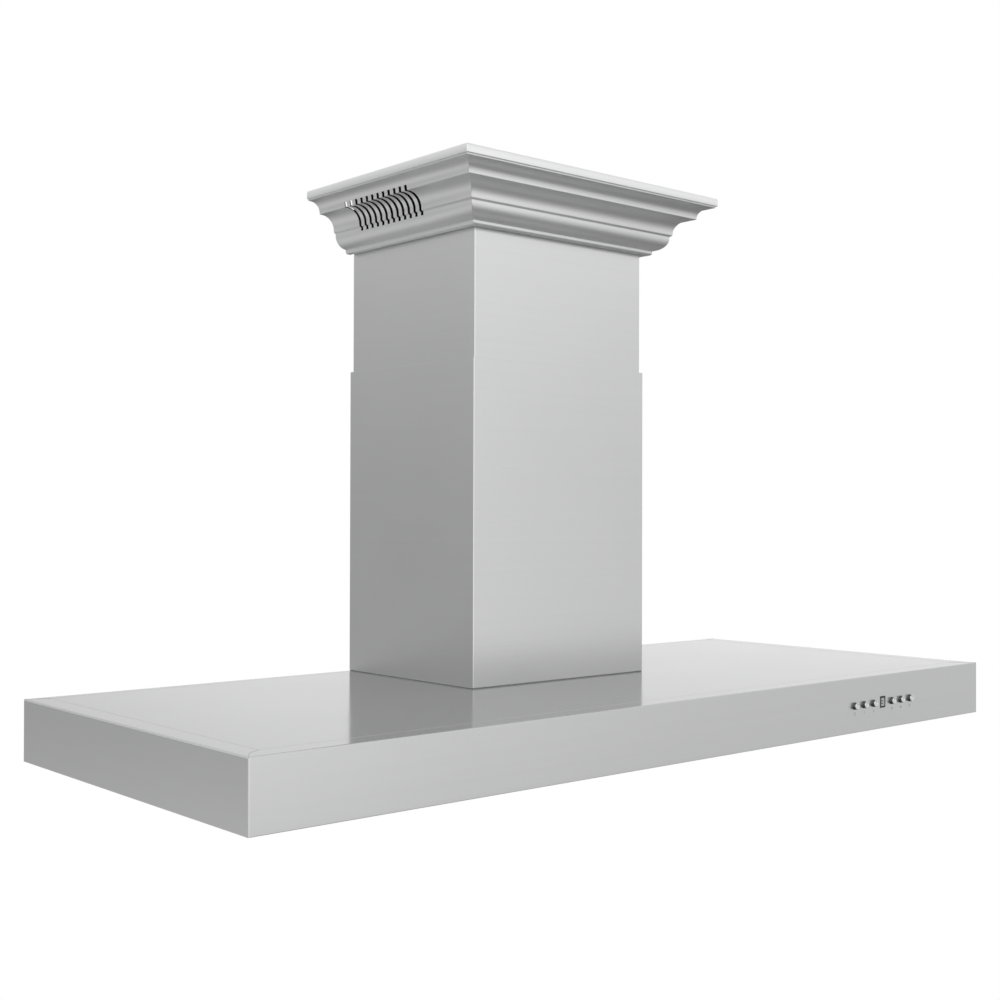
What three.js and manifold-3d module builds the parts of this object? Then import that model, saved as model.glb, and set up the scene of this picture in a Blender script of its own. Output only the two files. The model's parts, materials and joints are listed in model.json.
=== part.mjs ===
// A wall-hung kitchen range hood: a low, wide canopy box, a telescopic two-part chimney that stands
// at its back edge, and a three-sided moulded crown with loudspeakers behind slots in its sides.
//
// Millimetres. X runs along the front, the front faces -Y, the wall is the plane y = 0 and +Z is up.
// Heights are counted from the canopy's bottom edge. The whole hood is then lowered by half the
// canopy's height, so that the origin is the middle of the canopy's back face.
import * as THREE from "three";
import { ConvexGeometry } from "three/addons/geometries/ConvexGeometry.js";
import { mergeVertices } from "three/addons/utils/BufferGeometryUtils.js";
import Module from "manifold-3d";

const wasm = await Module();
wasm.setup();

// ---- Driving dimensions ----------------------------------------------------------------------

const GAP = 0.4; // air between two neighbouring pieces
const OVERCUT = 1; // how far a cutting block reaches past the face that it cuts
const SMALL_SIDES = 14; // sides of a round as small as a button
const LAMP_SIDES = 20; // sides of a round as large as a lamp

const CANOPY = { width: 1219, depth: 500, height: 72, sheet: 1.2, rim: 27, backRim: 12, lip: 14 };
const TOP_PANEL = { sheet: 1, joggle: 1.4, tuck: 10 };
const PAN = { bottom: 4, sheet: 1, foot: 1.6 };

const FILTER = {
  count: 4, pitch: 288, width: 280, depth: 320, height: 13, sheet: 1, rear: -62.5,
  border: 12, topBorder: 28, frontBorder: 26, play: 1, shelf: 7.5,
};
const BAFFLE = { lowerRow: 5, pitch: 51, width: 31, leg: 6, tuck: 2 };
const RAIL = { back: 24, riser: 2, nose: 3.5, headroom: 3, sheet: 1 };
const LATCH = {
  slotWidth: 54, slotDepth: 14, slotFront: 4, plateWidth: 64, plateDepth: 16, sheet: 2,
  tabHalf: 20, tabFront: 7, tabSheet: 2.5, tabLow: -2.8, ledge: 3, ledgeTop: -1.2,
};

const LAMP = {
  count: 4, pitch: 300, y: -440, flange: 33, body: 28, bore: 25.6, height: 24, lip: 1.4, roof: 2,
  lens: 25.2, lensCrown: 1.9, lensBack: 1,
};
const DRIVER = { x: 58, y: [-466, -424], height: 22, feetX: 70, feetY: [-452, -438], foot: 2 };

const CONTROLS = { x: 371.3, z: 35.4, pitch: 21.3 };
const BUTTON = { radius: 4.6, proud: 4.7, dome: 1, collar: 6.2, collarDepth: 1.4, stem: 2.5, length: 20.7 };
const DISPLAY = {
  width: 11.4, height: 14.6, frame: 1.6, proud: 0.6, depth: 2.4, windowProud: 0.2, windowDepth: 1.2,
};
const HOUSING = { halfWidth: 75, halfHeight: 23, depth: 20, wall: 1.6 };
const BOARD = { inset: 1.4, sheet: 1.6, moduleX: 4.6, moduleZ: 6.8, moduleGap: 1.4 };

const KEYHOLE = { x: 420, z: 32, radius: 7, slot: 3.5, rise: 14 };
const WALL_ANGLE = { low: 18, high: 62, reach: 16, half: 470 };

const LOWER = { width: 303, depth: 264, bottom: 72.4, top: 481.5, sheet: 1, flange: 12 };
const UPPER = { width: 296, depth: 261, back: 2, bottom: 243, top: 714, sheet: 1 };
const BRACKET = {
  sheet: 1.5, tab: 32, lowerSheet: 1.2, lowerZ: [438, 472], upperSheet: 1.5, upperZ: [672, 712],
};

// The crown's height levels, and its reach out from the upper cover's faces.
const CROWN = { bottom: 643, top: 719.5, reach: 75.5, wall: 1.2, topFlange: 18, arcSteps: 4 };
const FOOT = { reach: 10.5, flare: 1.5, rise: 5.8 };
const OVOLO = { reach: 11.5, rise: 23.5, radius: 17.5, start: -84 };
const FILLET = { reach: 29, rise: 25.8 };
const COVE = { reach: 51.4, rise: 29, radius: 19.4 };
const UPPER_COVE = { reach: 69.6, rise: 49.6, radius: 14.6 };
const BAND = { reach: 73.2, rise: 64.4 };
const FASCIA = { rise: 66.3 };
const SLOT = { count: 12, first: -192.3, pitch: 11.8, width: 4.8, bottom: 664, top: 698 };
// The loudspeaker's case and its gauze, as [reach, height] sections between two places along the side.
// The gauze's back edge leans: gauzeBack gives its place at each corner of the section.
const SPEAKER = {
  from: -194, to: -78, drivers: 3, driverRadius: 13.5, driverDepth: 12, taper: 0.45,
  section: [[4, 672], [16, 672], [40, 697], [40, 713], [4, 713]], driverAt: [28, 684.5],
  gauze: [[6, 659], [7, 658], [54, 706.9], [53, 707.9]],
  gauzeFront: -197, gauzeBack: [-12, -12, -78.6, -78.6],
};
const AUDIO = { x: 52, z: [662, 706], depth: 24, earsX: 62, earsZ: [674, 694], ear: 2 };

const BOX = {
  halfWidth: 124, front: -244, back: -12, top: 300, sheet: 1.2, flange: 8, mouthX: 118, mouthInset: 8,
};
const FAN = { y: -100, z: 178, halfWidth: 75, sheet: 1.5, inlet: 58, tongue: 70, growth: 22, top: 298 };
const WHEEL = {
  radius: 61, inner: 48, ring: 56, halfLength: 68, blades: 16, blade: 1.6, lean: 0.32, hoop: 2,
  disc: [10, 12], hub: [4, 20], hubRadius: 11,
};
const MOTOR = {
  radius: 38, left: -75, right: -6, shaft: 4, shaftEnd: 24, rearEdge: 3, frontEdge: 8,
  boss: 12, bossLength: 4,
};
const SPIDER = { sheet: 2, armHalf: 6, arms: [90, 210, 330], hub: 26, overlap: 7, hoop: [1, 9] };
const COLLAR = { y: -132, radius: 75, wall: 2, flange: 84, flangeSheet: 2, height: 45, ledge: 1 };
const DAMPER = {
  z: 318, radius: 71.5, sheet: 1, pin: 1.5, pinReach: 1, slack: 0.3, knuckle: 3.1, knuckleLength: 16,
  knuckleAt: 24,
};
const WIRING = { x: [86, 122], y: [-240, -190], height: 42, wall: 1.5 };
const GLAND = { rise: 20, nut: 9, nutLength: 5, barrel: 7, length: 16, bore: 4, floor: 2 };
const CAPACITOR = { x: -104, y: -214, radius: 16, height: 56, rim: 1, terminal: 7, total: 61 };

// ---- Materials -------------------------------------------------------------------------------

const finish = (color, roughness, metalness) =>
  new THREE.MeshStandardMaterial({ color, roughness, metalness });
const BRUSHED_STEEL = finish(0xc3c5c7, 0.34, 1);
const BAFFLE_STEEL = finish(0xcfd1d3, 0.28, 1);
const GALVANISED = finish(0xa9adb0, 0.5, 1);
const POLISHED = finish(0xe2e4e6, 0.12, 1);
const BLACK_PLASTIC = finish(0x1b1c1e, 0.6, 0);
const GREY_PLASTIC = finish(0x8e9194, 0.6, 0);
const WHITE_PLASTIC = finish(0xe6e6e2, 0.5, 0);
const CIRCUIT_GREEN = finish(0x1f5a3a, 0.55, 0);
const LENS = finish(0xf4f5f2, 0.3, 0);
const DARK_GLASS = finish(0x9aa0a2, 0.1, 0);
const BLACK_MESH = finish(0x0d0d0e, 0.8, 0.2);

// ---- Solids ----------------------------------------------------------------------------------

// A closed geometry as a solid that can be joined and cut.
function solid(geometry) {
  const loose = geometry.index ? geometry.toNonIndexed() : geometry;
  const bare = new THREE.BufferGeometry().setAttribute("position", loose.getAttribute("position"));
  const welded = mergeVertices(bare, 1e-3);
  const corners = [];
  for (let i = 0; i < welded.index.count; i += 3) {
    const [a, b, c] = [0, 1, 2].map((k) => welded.index.getX(i + k));
    if (a !== b && b !== c && c !== a) corners.push(a, b, c);
  }
  return new wasm.Manifold(new wasm.Mesh({
    numProp: 3,
    vertProperties: welded.attributes.position.array,
    triVerts: Uint32Array.from(corners),
  }));
}

// A solid as a named mesh with flat faces.
function piece(name, body, material) {
  const { vertProperties, triVerts } = body.getMesh();
  const shared = new THREE.BufferGeometry();
  shared.setAttribute("position", new THREE.BufferAttribute(vertProperties, 3));
  shared.setIndex(new THREE.BufferAttribute(triVerts, 1));
  const geometry = shared.toNonIndexed();
  geometry.computeVertexNormals();
  const mesh = new THREE.Mesh(geometry, material);
  mesh.name = name;
  return mesh;
}

const join = (first, ...others) => others.reduce((whole, one) => whole.add(one), first);
const cut = (first, ...others) => others.reduce((whole, one) => whole.subtract(one), first);

function box([x0, x1], [y0, y1], [z0, z1]) {
  const block = new THREE.BoxGeometry(x1 - x0, y1 - y0, z1 - z0);
  return solid(block.translate((x0 + x1) / 2, (y0 + y1) / 2, (z0 + z1) / 2));
}

const [X, Y, Z] = [[1, 0, 0], [0, 1, 0], [0, 0, 1]].map((v) => new THREE.Vector3(...v));
// How an outline and its depth lie for each push: (y, z) along x, (x, z) along y, (x, y) along z.
const PUSH = {
  x: new THREE.Matrix4().makeBasis(Y, Z, X),
  y: new THREE.Matrix4().makeBasis(X, Z, Y.clone().negate()),
  z: new THREE.Matrix4(),
};

// A flat outline pushed along an axis, from one coordinate to a higher one.
function push(axis, outline, from, to) {
  const shape = new THREE.Shape(outline.map(([a, b]) => new THREE.Vector2(a, b)));
  const geometry = new THREE.ExtrudeGeometry(shape, { depth: to - from, bevelEnabled: false });
  geometry.applyMatrix4(PUSH[axis]);
  const start = { x: [from, 0, 0], y: [0, to, 0], z: [0, 0, from] }[axis];
  return solid(geometry.translate(...start));
}

// A round bar along an axis; its centre line is given by the other two coordinates, in X, Y, Z order.
function rod(axis, radius, from, to, [a, b] = [0, 0], sides = 24) {
  const geometry = new THREE.CylinderGeometry(radius, radius, to - from, sides);
  const middle = (from + to) / 2;
  if (axis === "x") geometry.rotateZ(Math.PI / 2).translate(middle, a, b);
  if (axis === "y") geometry.translate(a, middle, b);
  if (axis === "z") geometry.rotateX(Math.PI / 2).translate(a, b, middle);
  return solid(geometry);
}

// A closed profile of [radius, height] points turned about Z. The outer wall runs upwards.
function turned(profile, sides = 28) {
  const points = profile.map(([r, z]) => new THREE.Vector2(r, z));
  const onAxis = profile[0][0] === 0;
  if (!onAxis) points.push(points[0].clone());
  return solid(new THREE.LatheGeometry(points, sides).rotateX(Math.PI / 2));
}

// Points of a circular arc, end points included, with angles in degrees.
function arc([a, b], radius, from, to, steps = CROWN.arcSteps) {
  return Array.from({ length: steps + 1 }, (_, i) => {
    const angle = THREE.MathUtils.degToRad(from + ((to - from) * i) / steps);
    return [a + radius * Math.cos(angle), b + radius * Math.sin(angle)];
  });
}

// Evenly spaced places about zero.
const spread = (count, pitch) =>
  Array.from({ length: count }, (_, i) => (i - (count - 1) / 2) * pitch);

// ---- Canopy ----------------------------------------------------------------------------------

function keyhole(x, from, to) {
  const { z, radius, slot, rise } = KEYHOLE;
  return join(
    rod("y", radius, from, to, [x, z]),
    box([x - slot, x + slot], [from, to], [z, z + rise]),
  );
}

const buttonPlaces = [-3, -2, -1, 1, 2, 3].map((step) => CONTROLS.x + step * CONTROLS.pitch);

// The holes that the buttons and the display look out of.
function controlHoles(from, to) {
  const halfWidth = DISPLAY.width / 2 + GAP;
  const halfHeight = DISPLAY.height / 2 + GAP;
  const round = buttonPlaces.map((x) =>
    rod("y", BUTTON.radius + GAP, from, to, [x, CONTROLS.z], SMALL_SIDES));
  const window = box(
    [CONTROLS.x - halfWidth, CONTROLS.x + halfWidth], [from, to],
    [CONTROLS.z - halfHeight, CONTROLS.z + halfHeight],
  );
  return join(window, ...round);
}

// Four walls folded from sheet, with a rim turned in at the top and a lip at the bottom.
function canopyShell() {
  const { width, depth, height, sheet, rim, backRim, lip } = CANOPY;
  const half = width / 2;
  return cut(
    box([-half, half], [-depth, 0], [0, height]),
    box([-half + sheet, half - sheet], [-depth + sheet, -sheet], [sheet, height - sheet]),
    box([-half + rim, half - rim], [-depth + rim, -backRim], [height / 2, height + OVERCUT]),
    box([-half + lip, half - lip], [-depth + lip, -lip], [-OVERCUT, height / 2]),
    controlHoles(-depth - OVERCUT, -depth + sheet + OVERCUT),
    keyhole(-KEYHOLE.x, -sheet - OVERCUT, OVERCUT),
    keyhole(KEYHOLE.x, -sheet - OVERCUT, OVERCUT),
  );
}

// The blower's mouth in the top panel, just inside the blower box.
const mouth = {
  x: [-BOX.mouthX, BOX.mouthX],
  y: [BOX.front + BOX.mouthInset, BOX.back - BOX.mouthInset],
};

// A flat panel flush with the rim, joggled down at its edge to tuck under it.
function topPanel() {
  const { width, depth, height, sheet: canopySheet, rim, backRim } = CANOPY;
  const { sheet, joggle, tuck } = TOP_PANEL;
  const x = width / 2 - rim - GAP;
  const [front, back] = [-depth + rim + GAP, -backRim - GAP];
  const low = height - canopySheet - GAP - sheet;
  return cut(
    join(
      box([-x, x], [front, back], [low, height]),
      box([-x - tuck, x + tuck], [front - tuck, back + tuck], [low, low + sheet]),
    ),
    box([-x + joggle, x - joggle], [front + joggle, back - joggle], [low - OVERCUT, height - sheet]),
    box(mouth.x, mouth.y, [low - OVERCUT, height + OVERCUT]),
  );
}

const filterPlaces = spread(FILTER.count, FILTER.pitch);
const lampPlaces = spread(LAMP.count, LAMP.pitch);
const panTop = PAN.bottom + PAN.sheet;

// The tray that closes the canopy's underside, with a mouth for each filter and a hole for each lamp.
function undersidePan() {
  const inset = CANOPY.sheet + GAP;
  const half = CANOPY.width / 2 - inset;
  const [front, back] = [-CANOPY.depth + inset, -inset];
  const { sheet, foot } = PAN;
  const tray = cut(
    box([-half, half], [front, back], [foot, panTop]),
    box([-half + sheet, half - sheet], [front + sheet, back - sheet], [foot - OVERCUT, PAN.bottom]),
  );
  const mouthHalf = FILTER.width / 2 + FILTER.play;
  const mouthY = [FILTER.rear - FILTER.depth - 1.5 * FILTER.play, FILTER.rear - FILTER.shelf];
  const through = [foot - OVERCUT, panTop + OVERCUT];
  return cut(
    tray,
    ...filterPlaces.map((x) => box([x - mouthHalf, x + mouthHalf], mouthY, through)),
    ...lampPlaces.map((x) => rod("z", LAMP.body + GAP, ...through, [x, LAMP.y], LAMP_SIDES)),
  );
}

// A channel behind the filters that holds their rear edges.
function filterRail() {
  const { sheet, headroom } = RAIL;
  const low = panTop + GAP;
  const high = low + FILTER.height + headroom;
  const [back, riser, nose] = [FILTER.rear + RAIL.back, FILTER.rear + RAIL.riser, FILTER.rear - RAIL.nose];
  const outline = [
    [back, low], [back, low + sheet], [riser, low + sheet], [riser, high + sheet],
    [nose, high + sheet], [nose, high], [riser - sheet, high], [riser - sheet, low],
  ];
  const half = FILTER.count * FILTER.pitch / 2;
  return push("x", outline, -half, half);
}

// A stiff angle inside the back wall that takes the hood's weight on two wall screws.
function wallBracket() {
  const back = -CANOPY.sheet - GAP;
  const { sheet } = BRACKET;
  const { low, high, reach, half } = WALL_ANGLE;
  const outline = [
    [back, low], [back, high], [back - reach, high],
    [back - reach, high - sheet], [back - sheet, high - sheet], [back - sheet, low],
  ];
  return cut(
    push("x", outline, -half, half),
    keyhole(-KEYHOLE.x, back - sheet - OVERCUT, 0),
    keyhole(KEYHOLE.x, back - sheet - OVERCUT, 0),
  );
}

// ---- Filters ---------------------------------------------------------------------------------
// A filter's own origin is the middle of its rear bottom edge.

function baffle(x, upper) {
  const { width, leg, tuck } = BAFFLE;
  const { sheet, height, depth, border, frontBorder } = FILTER;
  const half = width / 2;
  const section = [
    [-half, 0], [half, 0], [half, leg], [half - sheet, leg],
    [half - sheet, sheet], [-half + sheet, sheet], [-half + sheet, leg], [-half, leg],
  ];
  const placed = section.map(([a, b]) => [x + a, upper ? height - b : b]);
  return push("y", placed, -depth + frontBorder - tuck, -border + tuck);
}

// A frame of folded channel with two rows of interleaved baffles.
function baffleFilter() {
  const { width, depth, height, sheet, border, topBorder, frontBorder } = FILTER;
  const half = width / 2;
  const windowY = [-depth + frontBorder, -border];
  const frame = cut(
    box([-half, half], [-depth, 0], [0, height]),
    box([-half + sheet, half - sheet], [-depth + sheet, -sheet], [sheet, height - sheet]),
    box([-half + border, half - border], windowY, [-OVERCUT, height / 2]),
    box([-half + topBorder, half - topBorder], windowY, [height / 2, height + OVERCUT]),
    box(
      [-LATCH.slotWidth / 2, LATCH.slotWidth / 2],
      [-depth + LATCH.slotFront, -depth + LATCH.slotFront + LATCH.slotDepth], [-OVERCUT, 2 * sheet],
    ),
  );
  const { lowerRow, pitch } = BAFFLE;
  return join(
    frame,
    ...spread(lowerRow, pitch).map((x) => baffle(x, false)),
    ...spread(lowerRow - 1, pitch).map((x) => baffle(x, true)),
  );
}

// The sprung plate inside a filter's front channel, with a finger tab that looks out below.
function filterLatch() {
  const { plateWidth, plateDepth, sheet, tabHalf, tabFront, tabSheet, tabLow, ledge, ledgeTop } = LATCH;
  const front = -FILTER.depth + FILTER.sheet + GAP;
  const low = FILTER.sheet + GAP;
  const tab = [-FILTER.depth + tabFront, -FILTER.depth + tabFront + tabSheet];
  return join(
    box([-plateWidth / 2, plateWidth / 2], [front, front + plateDepth], [low, low + sheet]),
    box([-tabHalf, tabHalf], tab, [tabLow, low + sheet]),
    box([-tabHalf, tabHalf], [tab[0], tab[1] + ledge], [tabLow, ledgeTop]),
  );
}

// ---- Lamps -----------------------------------------------------------------------------------
// A lamp's own origin is on its axis, at the pan's bottom face.

function ledHousing() {
  const { flange, body, bore, height, lip, roof } = LAMP;
  return turned([
    [0, height - roof], [bore, height - roof], [bore, -lip], [flange - lip, -lip], [flange, -GAP],
    [body, -GAP], [body, height], [0, height],
  ], LAMP_SIDES);
}

function ledLens() {
  const { lens, lensCrown, lensBack } = LAMP;
  return turned([
    [0, -lensCrown], [lens * 0.7, -lensCrown * 0.85], [lens, -lensCrown * 0.45], [lens, lensBack],
    [0, lensBack],
  ], LAMP_SIDES);
}

// ---- Controls --------------------------------------------------------------------------------
// A button's own origin is on its axis, in the plane of the canopy's front face.

// A domed cap, a collar that keeps it behind the housing's face, and a stem towards its switch.
function button() {
  const { radius, proud, dome, collar, collarDepth, stem, length } = BUTTON;
  const face = CANOPY.sheet + GAP + HOUSING.wall + GAP;
  const profile = [
    [0, -proud], [radius * 0.7, -proud + dome * 0.3], [radius, -proud + dome],
    [radius, face], [collar, face], [collar, face + collarDepth],
    [stem, face + collarDepth], [stem, length - proud], [0, length - proud],
  ];
  const points = profile.map(([r, y]) => new THREE.Vector2(r, y));
  return solid(new THREE.LatheGeometry(points, SMALL_SIDES));
}

const housingFront = -CANOPY.depth + CANOPY.sheet + GAP;
const housingX = [CONTROLS.x - HOUSING.halfWidth, CONTROLS.x + HOUSING.halfWidth];
const housingZ = [CONTROLS.z - HOUSING.halfHeight, CONTROLS.z + HOUSING.halfHeight];
const within = ([low, high], margin) => [low + margin, high - margin];

// An open-backed tray behind the front wall that guides the buttons.
function controlHousing() {
  const { wall, depth } = HOUSING;
  return cut(
    box(housingX, [housingFront, housingFront + depth], housingZ),
    box(within(housingX, wall), [housingFront + wall, 0], within(housingZ, wall)),
    controlHoles(housingFront - OVERCUT, housingFront + wall + OVERCUT),
  );
}

// The circuit board across the tray's back, with the display module standing on it.
function controlBoard() {
  const { inset, sheet, moduleX, moduleZ, moduleGap } = BOARD;
  const back = housingFront + HOUSING.depth - inset;
  return join(
    box(
      within(housingX, HOUSING.wall + GAP), [back - sheet, back], within(housingZ, HOUSING.wall + GAP),
    ),
    box(
      [CONTROLS.x - moduleX, CONTROLS.x + moduleX], [housingFront + moduleGap, back - sheet / 2],
      [CONTROLS.z - moduleZ, CONTROLS.z + moduleZ],
    ),
  );
}

function displayBezel() {
  const { width, height, frame, proud, depth } = DISPLAY;
  const [x, z] = [width / 2, height / 2];
  const y = [-CANOPY.depth - proud, -CANOPY.depth + depth];
  return cut(
    box([CONTROLS.x - x, CONTROLS.x + x], y, [CONTROLS.z - z, CONTROLS.z + z]),
    box(
      [CONTROLS.x - x + frame, CONTROLS.x + x - frame], [y[0] - OVERCUT, y[1] + OVERCUT],
      [CONTROLS.z - z + frame, CONTROLS.z + z - frame],
    ),
  );
}

function displayWindow() {
  const { width, height, frame, windowProud, windowDepth } = DISPLAY;
  const [x, z] = [width / 2 - frame - GAP, height / 2 - frame - GAP];
  return box(
    [CONTROLS.x - x, CONTROLS.x + x], [-CANOPY.depth - windowProud, -CANOPY.depth + windowDepth],
    [CONTROLS.z - z, CONTROLS.z + z],
  );
}

// The lamps' power supply, on the pan between the middle lamps.
function ledDriver() {
  const { x, y, height, feetX, feetY, foot } = DRIVER;
  const low = panTop + GAP;
  return join(
    box([-x, x], y, [low, low + height]),
    box([-feetX, feetX], feetY, [low, low + foot]),
  );
}

// ---- Blower ----------------------------------------------------------------------------------

const boxFloor = CANOPY.height + GAP;

// The sheet box around the fan, open downwards, with a round hole in its top for the duct collar.
function blowerBox() {
  const { halfWidth, front, back, top, sheet, flange } = BOX;
  return cut(
    join(
      box([-halfWidth, halfWidth], [front, back], [boxFloor, top]),
      box([-halfWidth - flange, halfWidth + flange], [front, back], [boxFloor, boxFloor + sheet]),
    ),
    box([-halfWidth + sheet, halfWidth - sheet], [front + sheet, back - sheet], [0, top - sheet]),
    rod("z", COLLAR.radius - COLLAR.wall - COLLAR.ledge, top - 2 * sheet, top + OVERCUT, [0, COLLAR.y], 32),
  );
}

// The outline of the scroll in (y, z): it widens as it winds round the wheel, then leaves upwards.
function scrollOutline(inset, top) {
  const { y, z, tongue, growth } = FAN;
  const turns = 18;
  const spiral = Array.from({ length: turns + 1 }, (_, i) => {
    const share = i / turns;
    const angle = Math.PI / 2 - share * Math.PI * 1.5;
    const radius = tongue + growth * share - inset;
    return [y + radius * Math.cos(angle), z + radius * Math.sin(angle)];
  });
  spiral[0][0] -= inset;
  return [...spiral, [y - tongue - growth + inset, top], [y - inset, top]];
}

function fanScroll() {
  const { y, z, halfWidth, sheet, inlet, top } = FAN;
  return cut(
    push("x", scrollOutline(0, top), -halfWidth, halfWidth),
    push("x", scrollOutline(sheet, top + OVERCUT), -halfWidth + sheet, halfWidth - sheet),
    rod("x", inlet, -halfWidth - OVERCUT, halfWidth + OVERCUT, [y, z], 32),
  );
}

// A double-inlet drum of forward-leaning blades on a middle disc.
// Its own origin, like those of the motor, the shaft and the bracket, is on the fan's axis.
function impeller() {
  const { radius, inner, ring, halfLength, blades, blade, lean, disc, hub, hubRadius } = WHEEL;
  const polar = (r, angle) => [r * Math.cos(angle), r * Math.sin(angle)];
  const vanes = Array.from({ length: blades }, (_, i) => {
    const angle = (2 * Math.PI * i) / blades;
    const outline = [
      polar(inner, angle), polar(radius - 1, angle + lean),
      polar(radius - 1, angle + lean + blade / radius), polar(inner, angle + blade / inner),
    ];
    return push("x", outline, -halfLength, halfLength);
  });
  const hoop = (from, to) => cut(
    rod("x", radius, from, to), rod("x", ring, from - OVERCUT, to + OVERCUT),
  );
  const bore = rod("x", MOTOR.shaft + GAP, 0, 2 * halfLength, [0, 0], SMALL_SIDES);
  return cut(
    join(
      rod("x", radius, ...disc), rod("x", hubRadius, ...hub, [0, 0], SMALL_SIDES),
      hoop(-halfLength, -halfLength + WHEEL.hoop), hoop(halfLength - WHEEL.hoop, halfLength), ...vanes,
    ),
    bore,
  );
}

function fanMotor() {
  const { radius, left, right, rearEdge, frontEdge, boss, bossLength } = MOTOR;
  const length = right - left;
  const body = turned([
    [0, 0], [radius - rearEdge, 0], [radius, rearEdge], [radius, length - frontEdge],
    [radius - frontEdge, length - bossLength], [boss, length - bossLength], [boss, length], [0, length],
  ], 24);
  return body.rotate([0, 90, 0]).translate([left, 0, 0]);
}

const motorShaft = () =>
  rod("x", MOTOR.shaft, MOTOR.right + GAP, MOTOR.shaftEnd, [0, 0], SMALL_SIDES);

// Three arms that carry the motor across the fan's left inlet.
function motorBracket() {
  const { sheet, armHalf, arms, hub, overlap, hoop } = SPIDER;
  const to = -FAN.halfWidth - GAP;
  const from = to - sheet;
  const spokes = arms.map((angle) =>
    box([from, to], [0, FAN.inlet + overlap], [-armHalf, armHalf]).rotate([angle, 0, 0]));
  const ring = cut(
    rod("x", FAN.inlet + hoop[1], from, to),
    rod("x", FAN.inlet + hoop[0], from - OVERCUT, to + OVERCUT),
  );
  return join(ring, rod("x", hub, from, to), ...spokes);
}

// The 150 mm spigot for the duct, with holes for the damper's pin.
function ductCollar() {
  const { y, radius, wall, flange, flangeSheet, height } = COLLAR;
  const low = BOX.top + GAP;
  const ring = turned([
    [radius - wall, low], [flange, low], [flange, low + flangeSheet], [radius, low + flangeSheet],
    [radius, low + height], [radius - wall, low + height],
  ]).translate([0, y, 0]);
  return cut(ring, rod("y", DAMPER.pin + GAP, y - 2 * radius, y + 2 * radius, [0, DAMPER.z], 12));
}

function damperPin() {
  const reach = COLLAR.radius + DAMPER.pinReach;
  return rod("y", DAMPER.pin, COLLAR.y - reach, COLLAR.y + reach, [0, DAMPER.z], 12);
}

// Half a disc with two knuckles round the pin, and notches that clear the other half's knuckles.
// side is -1 for the left flap and 1 for the right. Its own origin is the middle of the pin.
function damperFlap(side) {
  const { radius, sheet, pin, slack, knuckle, knuckleLength, knuckleAt } = DAMPER;
  const edge = pin + GAP + slack;
  const disc = arc([0, 0], radius, -90, 90, 14).filter(([a]) => a > edge);
  const ends = Math.sqrt(radius * radius - edge * edge);
  const half = [[edge, -ends], ...disc, [edge, ends]].map(([a, b]) => [side * a, b]);
  const places = [-knuckleAt, knuckleAt].map((place) => place + (side * knuckleLength) / 2);
  const tube = (place, r, extra) => rod(
    "y", r, place - knuckleLength / 2 + GAP - extra, place + knuckleLength / 2 - GAP + extra, [0, 0], 14,
  );
  return cut(
    join(push("z", half, -sheet / 2, sheet / 2), ...places.map((place) => tube(place, knuckle, 0))),
    rod("y", pin + GAP, -radius, radius, [0, 0], 14),
    ...places.map((place) => tube(place - side * knuckleLength, knuckle + 2 * GAP, 2 * GAP)),
  );
}

// The wiring compartment on the blower box, its lid, and the gland that a supply lead enters by.
const wiringZ = [BOX.top + GAP, BOX.top + WIRING.height];

function junctionBox() {
  const { x, y, wall } = WIRING;
  return cut(
    box(x, y, wiringZ),
    box(within(x, wall), within(y, wall), [wiringZ[0] + wall, wiringZ[1] + OVERCUT]),
  );
}

const junctionLid = () =>
  box(WIRING.x, WIRING.y, [wiringZ[1] + GAP, wiringZ[1] + GAP + WIRING.wall]);

function cableGland() {
  const { rise, nut, nutLength, barrel, length, bore, floor } = GLAND;
  const centre = [(WIRING.x[0] + WIRING.x[1]) / 2, wiringZ[0] + rise];
  const back = WIRING.y[1] + GAP;
  return cut(
    join(
      rod("y", nut, back, back + nutLength, centre, 6),
      rod("y", barrel, back + nutLength, back + length, centre, 20),
    ),
    rod("y", bore, back + floor, back + length + OVERCUT, centre, 16),
  );
}

function motorCapacitor() {
  const { x, y, radius, height, rim, terminal, total } = CAPACITOR;
  return turned([
    [0, 0], [radius, 0], [radius, height], [radius - rim, height + rim], [terminal, height + rim],
    [terminal, total], [0, total],
  ], 20).translate([x, y, BOX.top + GAP]);
}

// ---- Chimney ---------------------------------------------------------------------------------

// A sheet folded round three sides: left, front and right.
function wrap(width, front, back, sheet, [bottom, top]) {
  return cut(
    box([-width / 2, width / 2], [front, back], [bottom, top]),
    box(
      [-width / 2 + sheet, width / 2 - sheet], [front + sheet, back + OVERCUT],
      [bottom - OVERCUT, top + OVERCUT],
    ),
  );
}

// The lower cover stands on the canopy on a flange turned inwards.
function lowerChimneyCover() {
  const { width, depth, bottom, top, sheet, flange } = LOWER;
  return join(
    wrap(width, -depth, 0, sheet, [bottom, top]),
    wrap(width, -depth, 0, flange, [bottom, bottom + sheet]),
  );
}

const upperChimneyCover = () =>
  wrap(UPPER.width, -UPPER.depth, -UPPER.back, UPPER.sheet, [UPPER.bottom, UPPER.top]);

// A plate against the wall with a tab folded forward along each side of the cover that it holds.
function chimneyBracket(outerHalf, thickness, [bottom, top]) {
  const half = outerHalf - GAP;
  return cut(
    box([-half, half], [-BRACKET.tab, 0], [bottom, top]),
    box(
      [-half + thickness, half - thickness], [-BRACKET.tab - OVERCUT, -BRACKET.sheet],
      [bottom - OVERCUT, top + OVERCUT],
    ),
  );
}

// ---- Crown -----------------------------------------------------------------------------------

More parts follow.
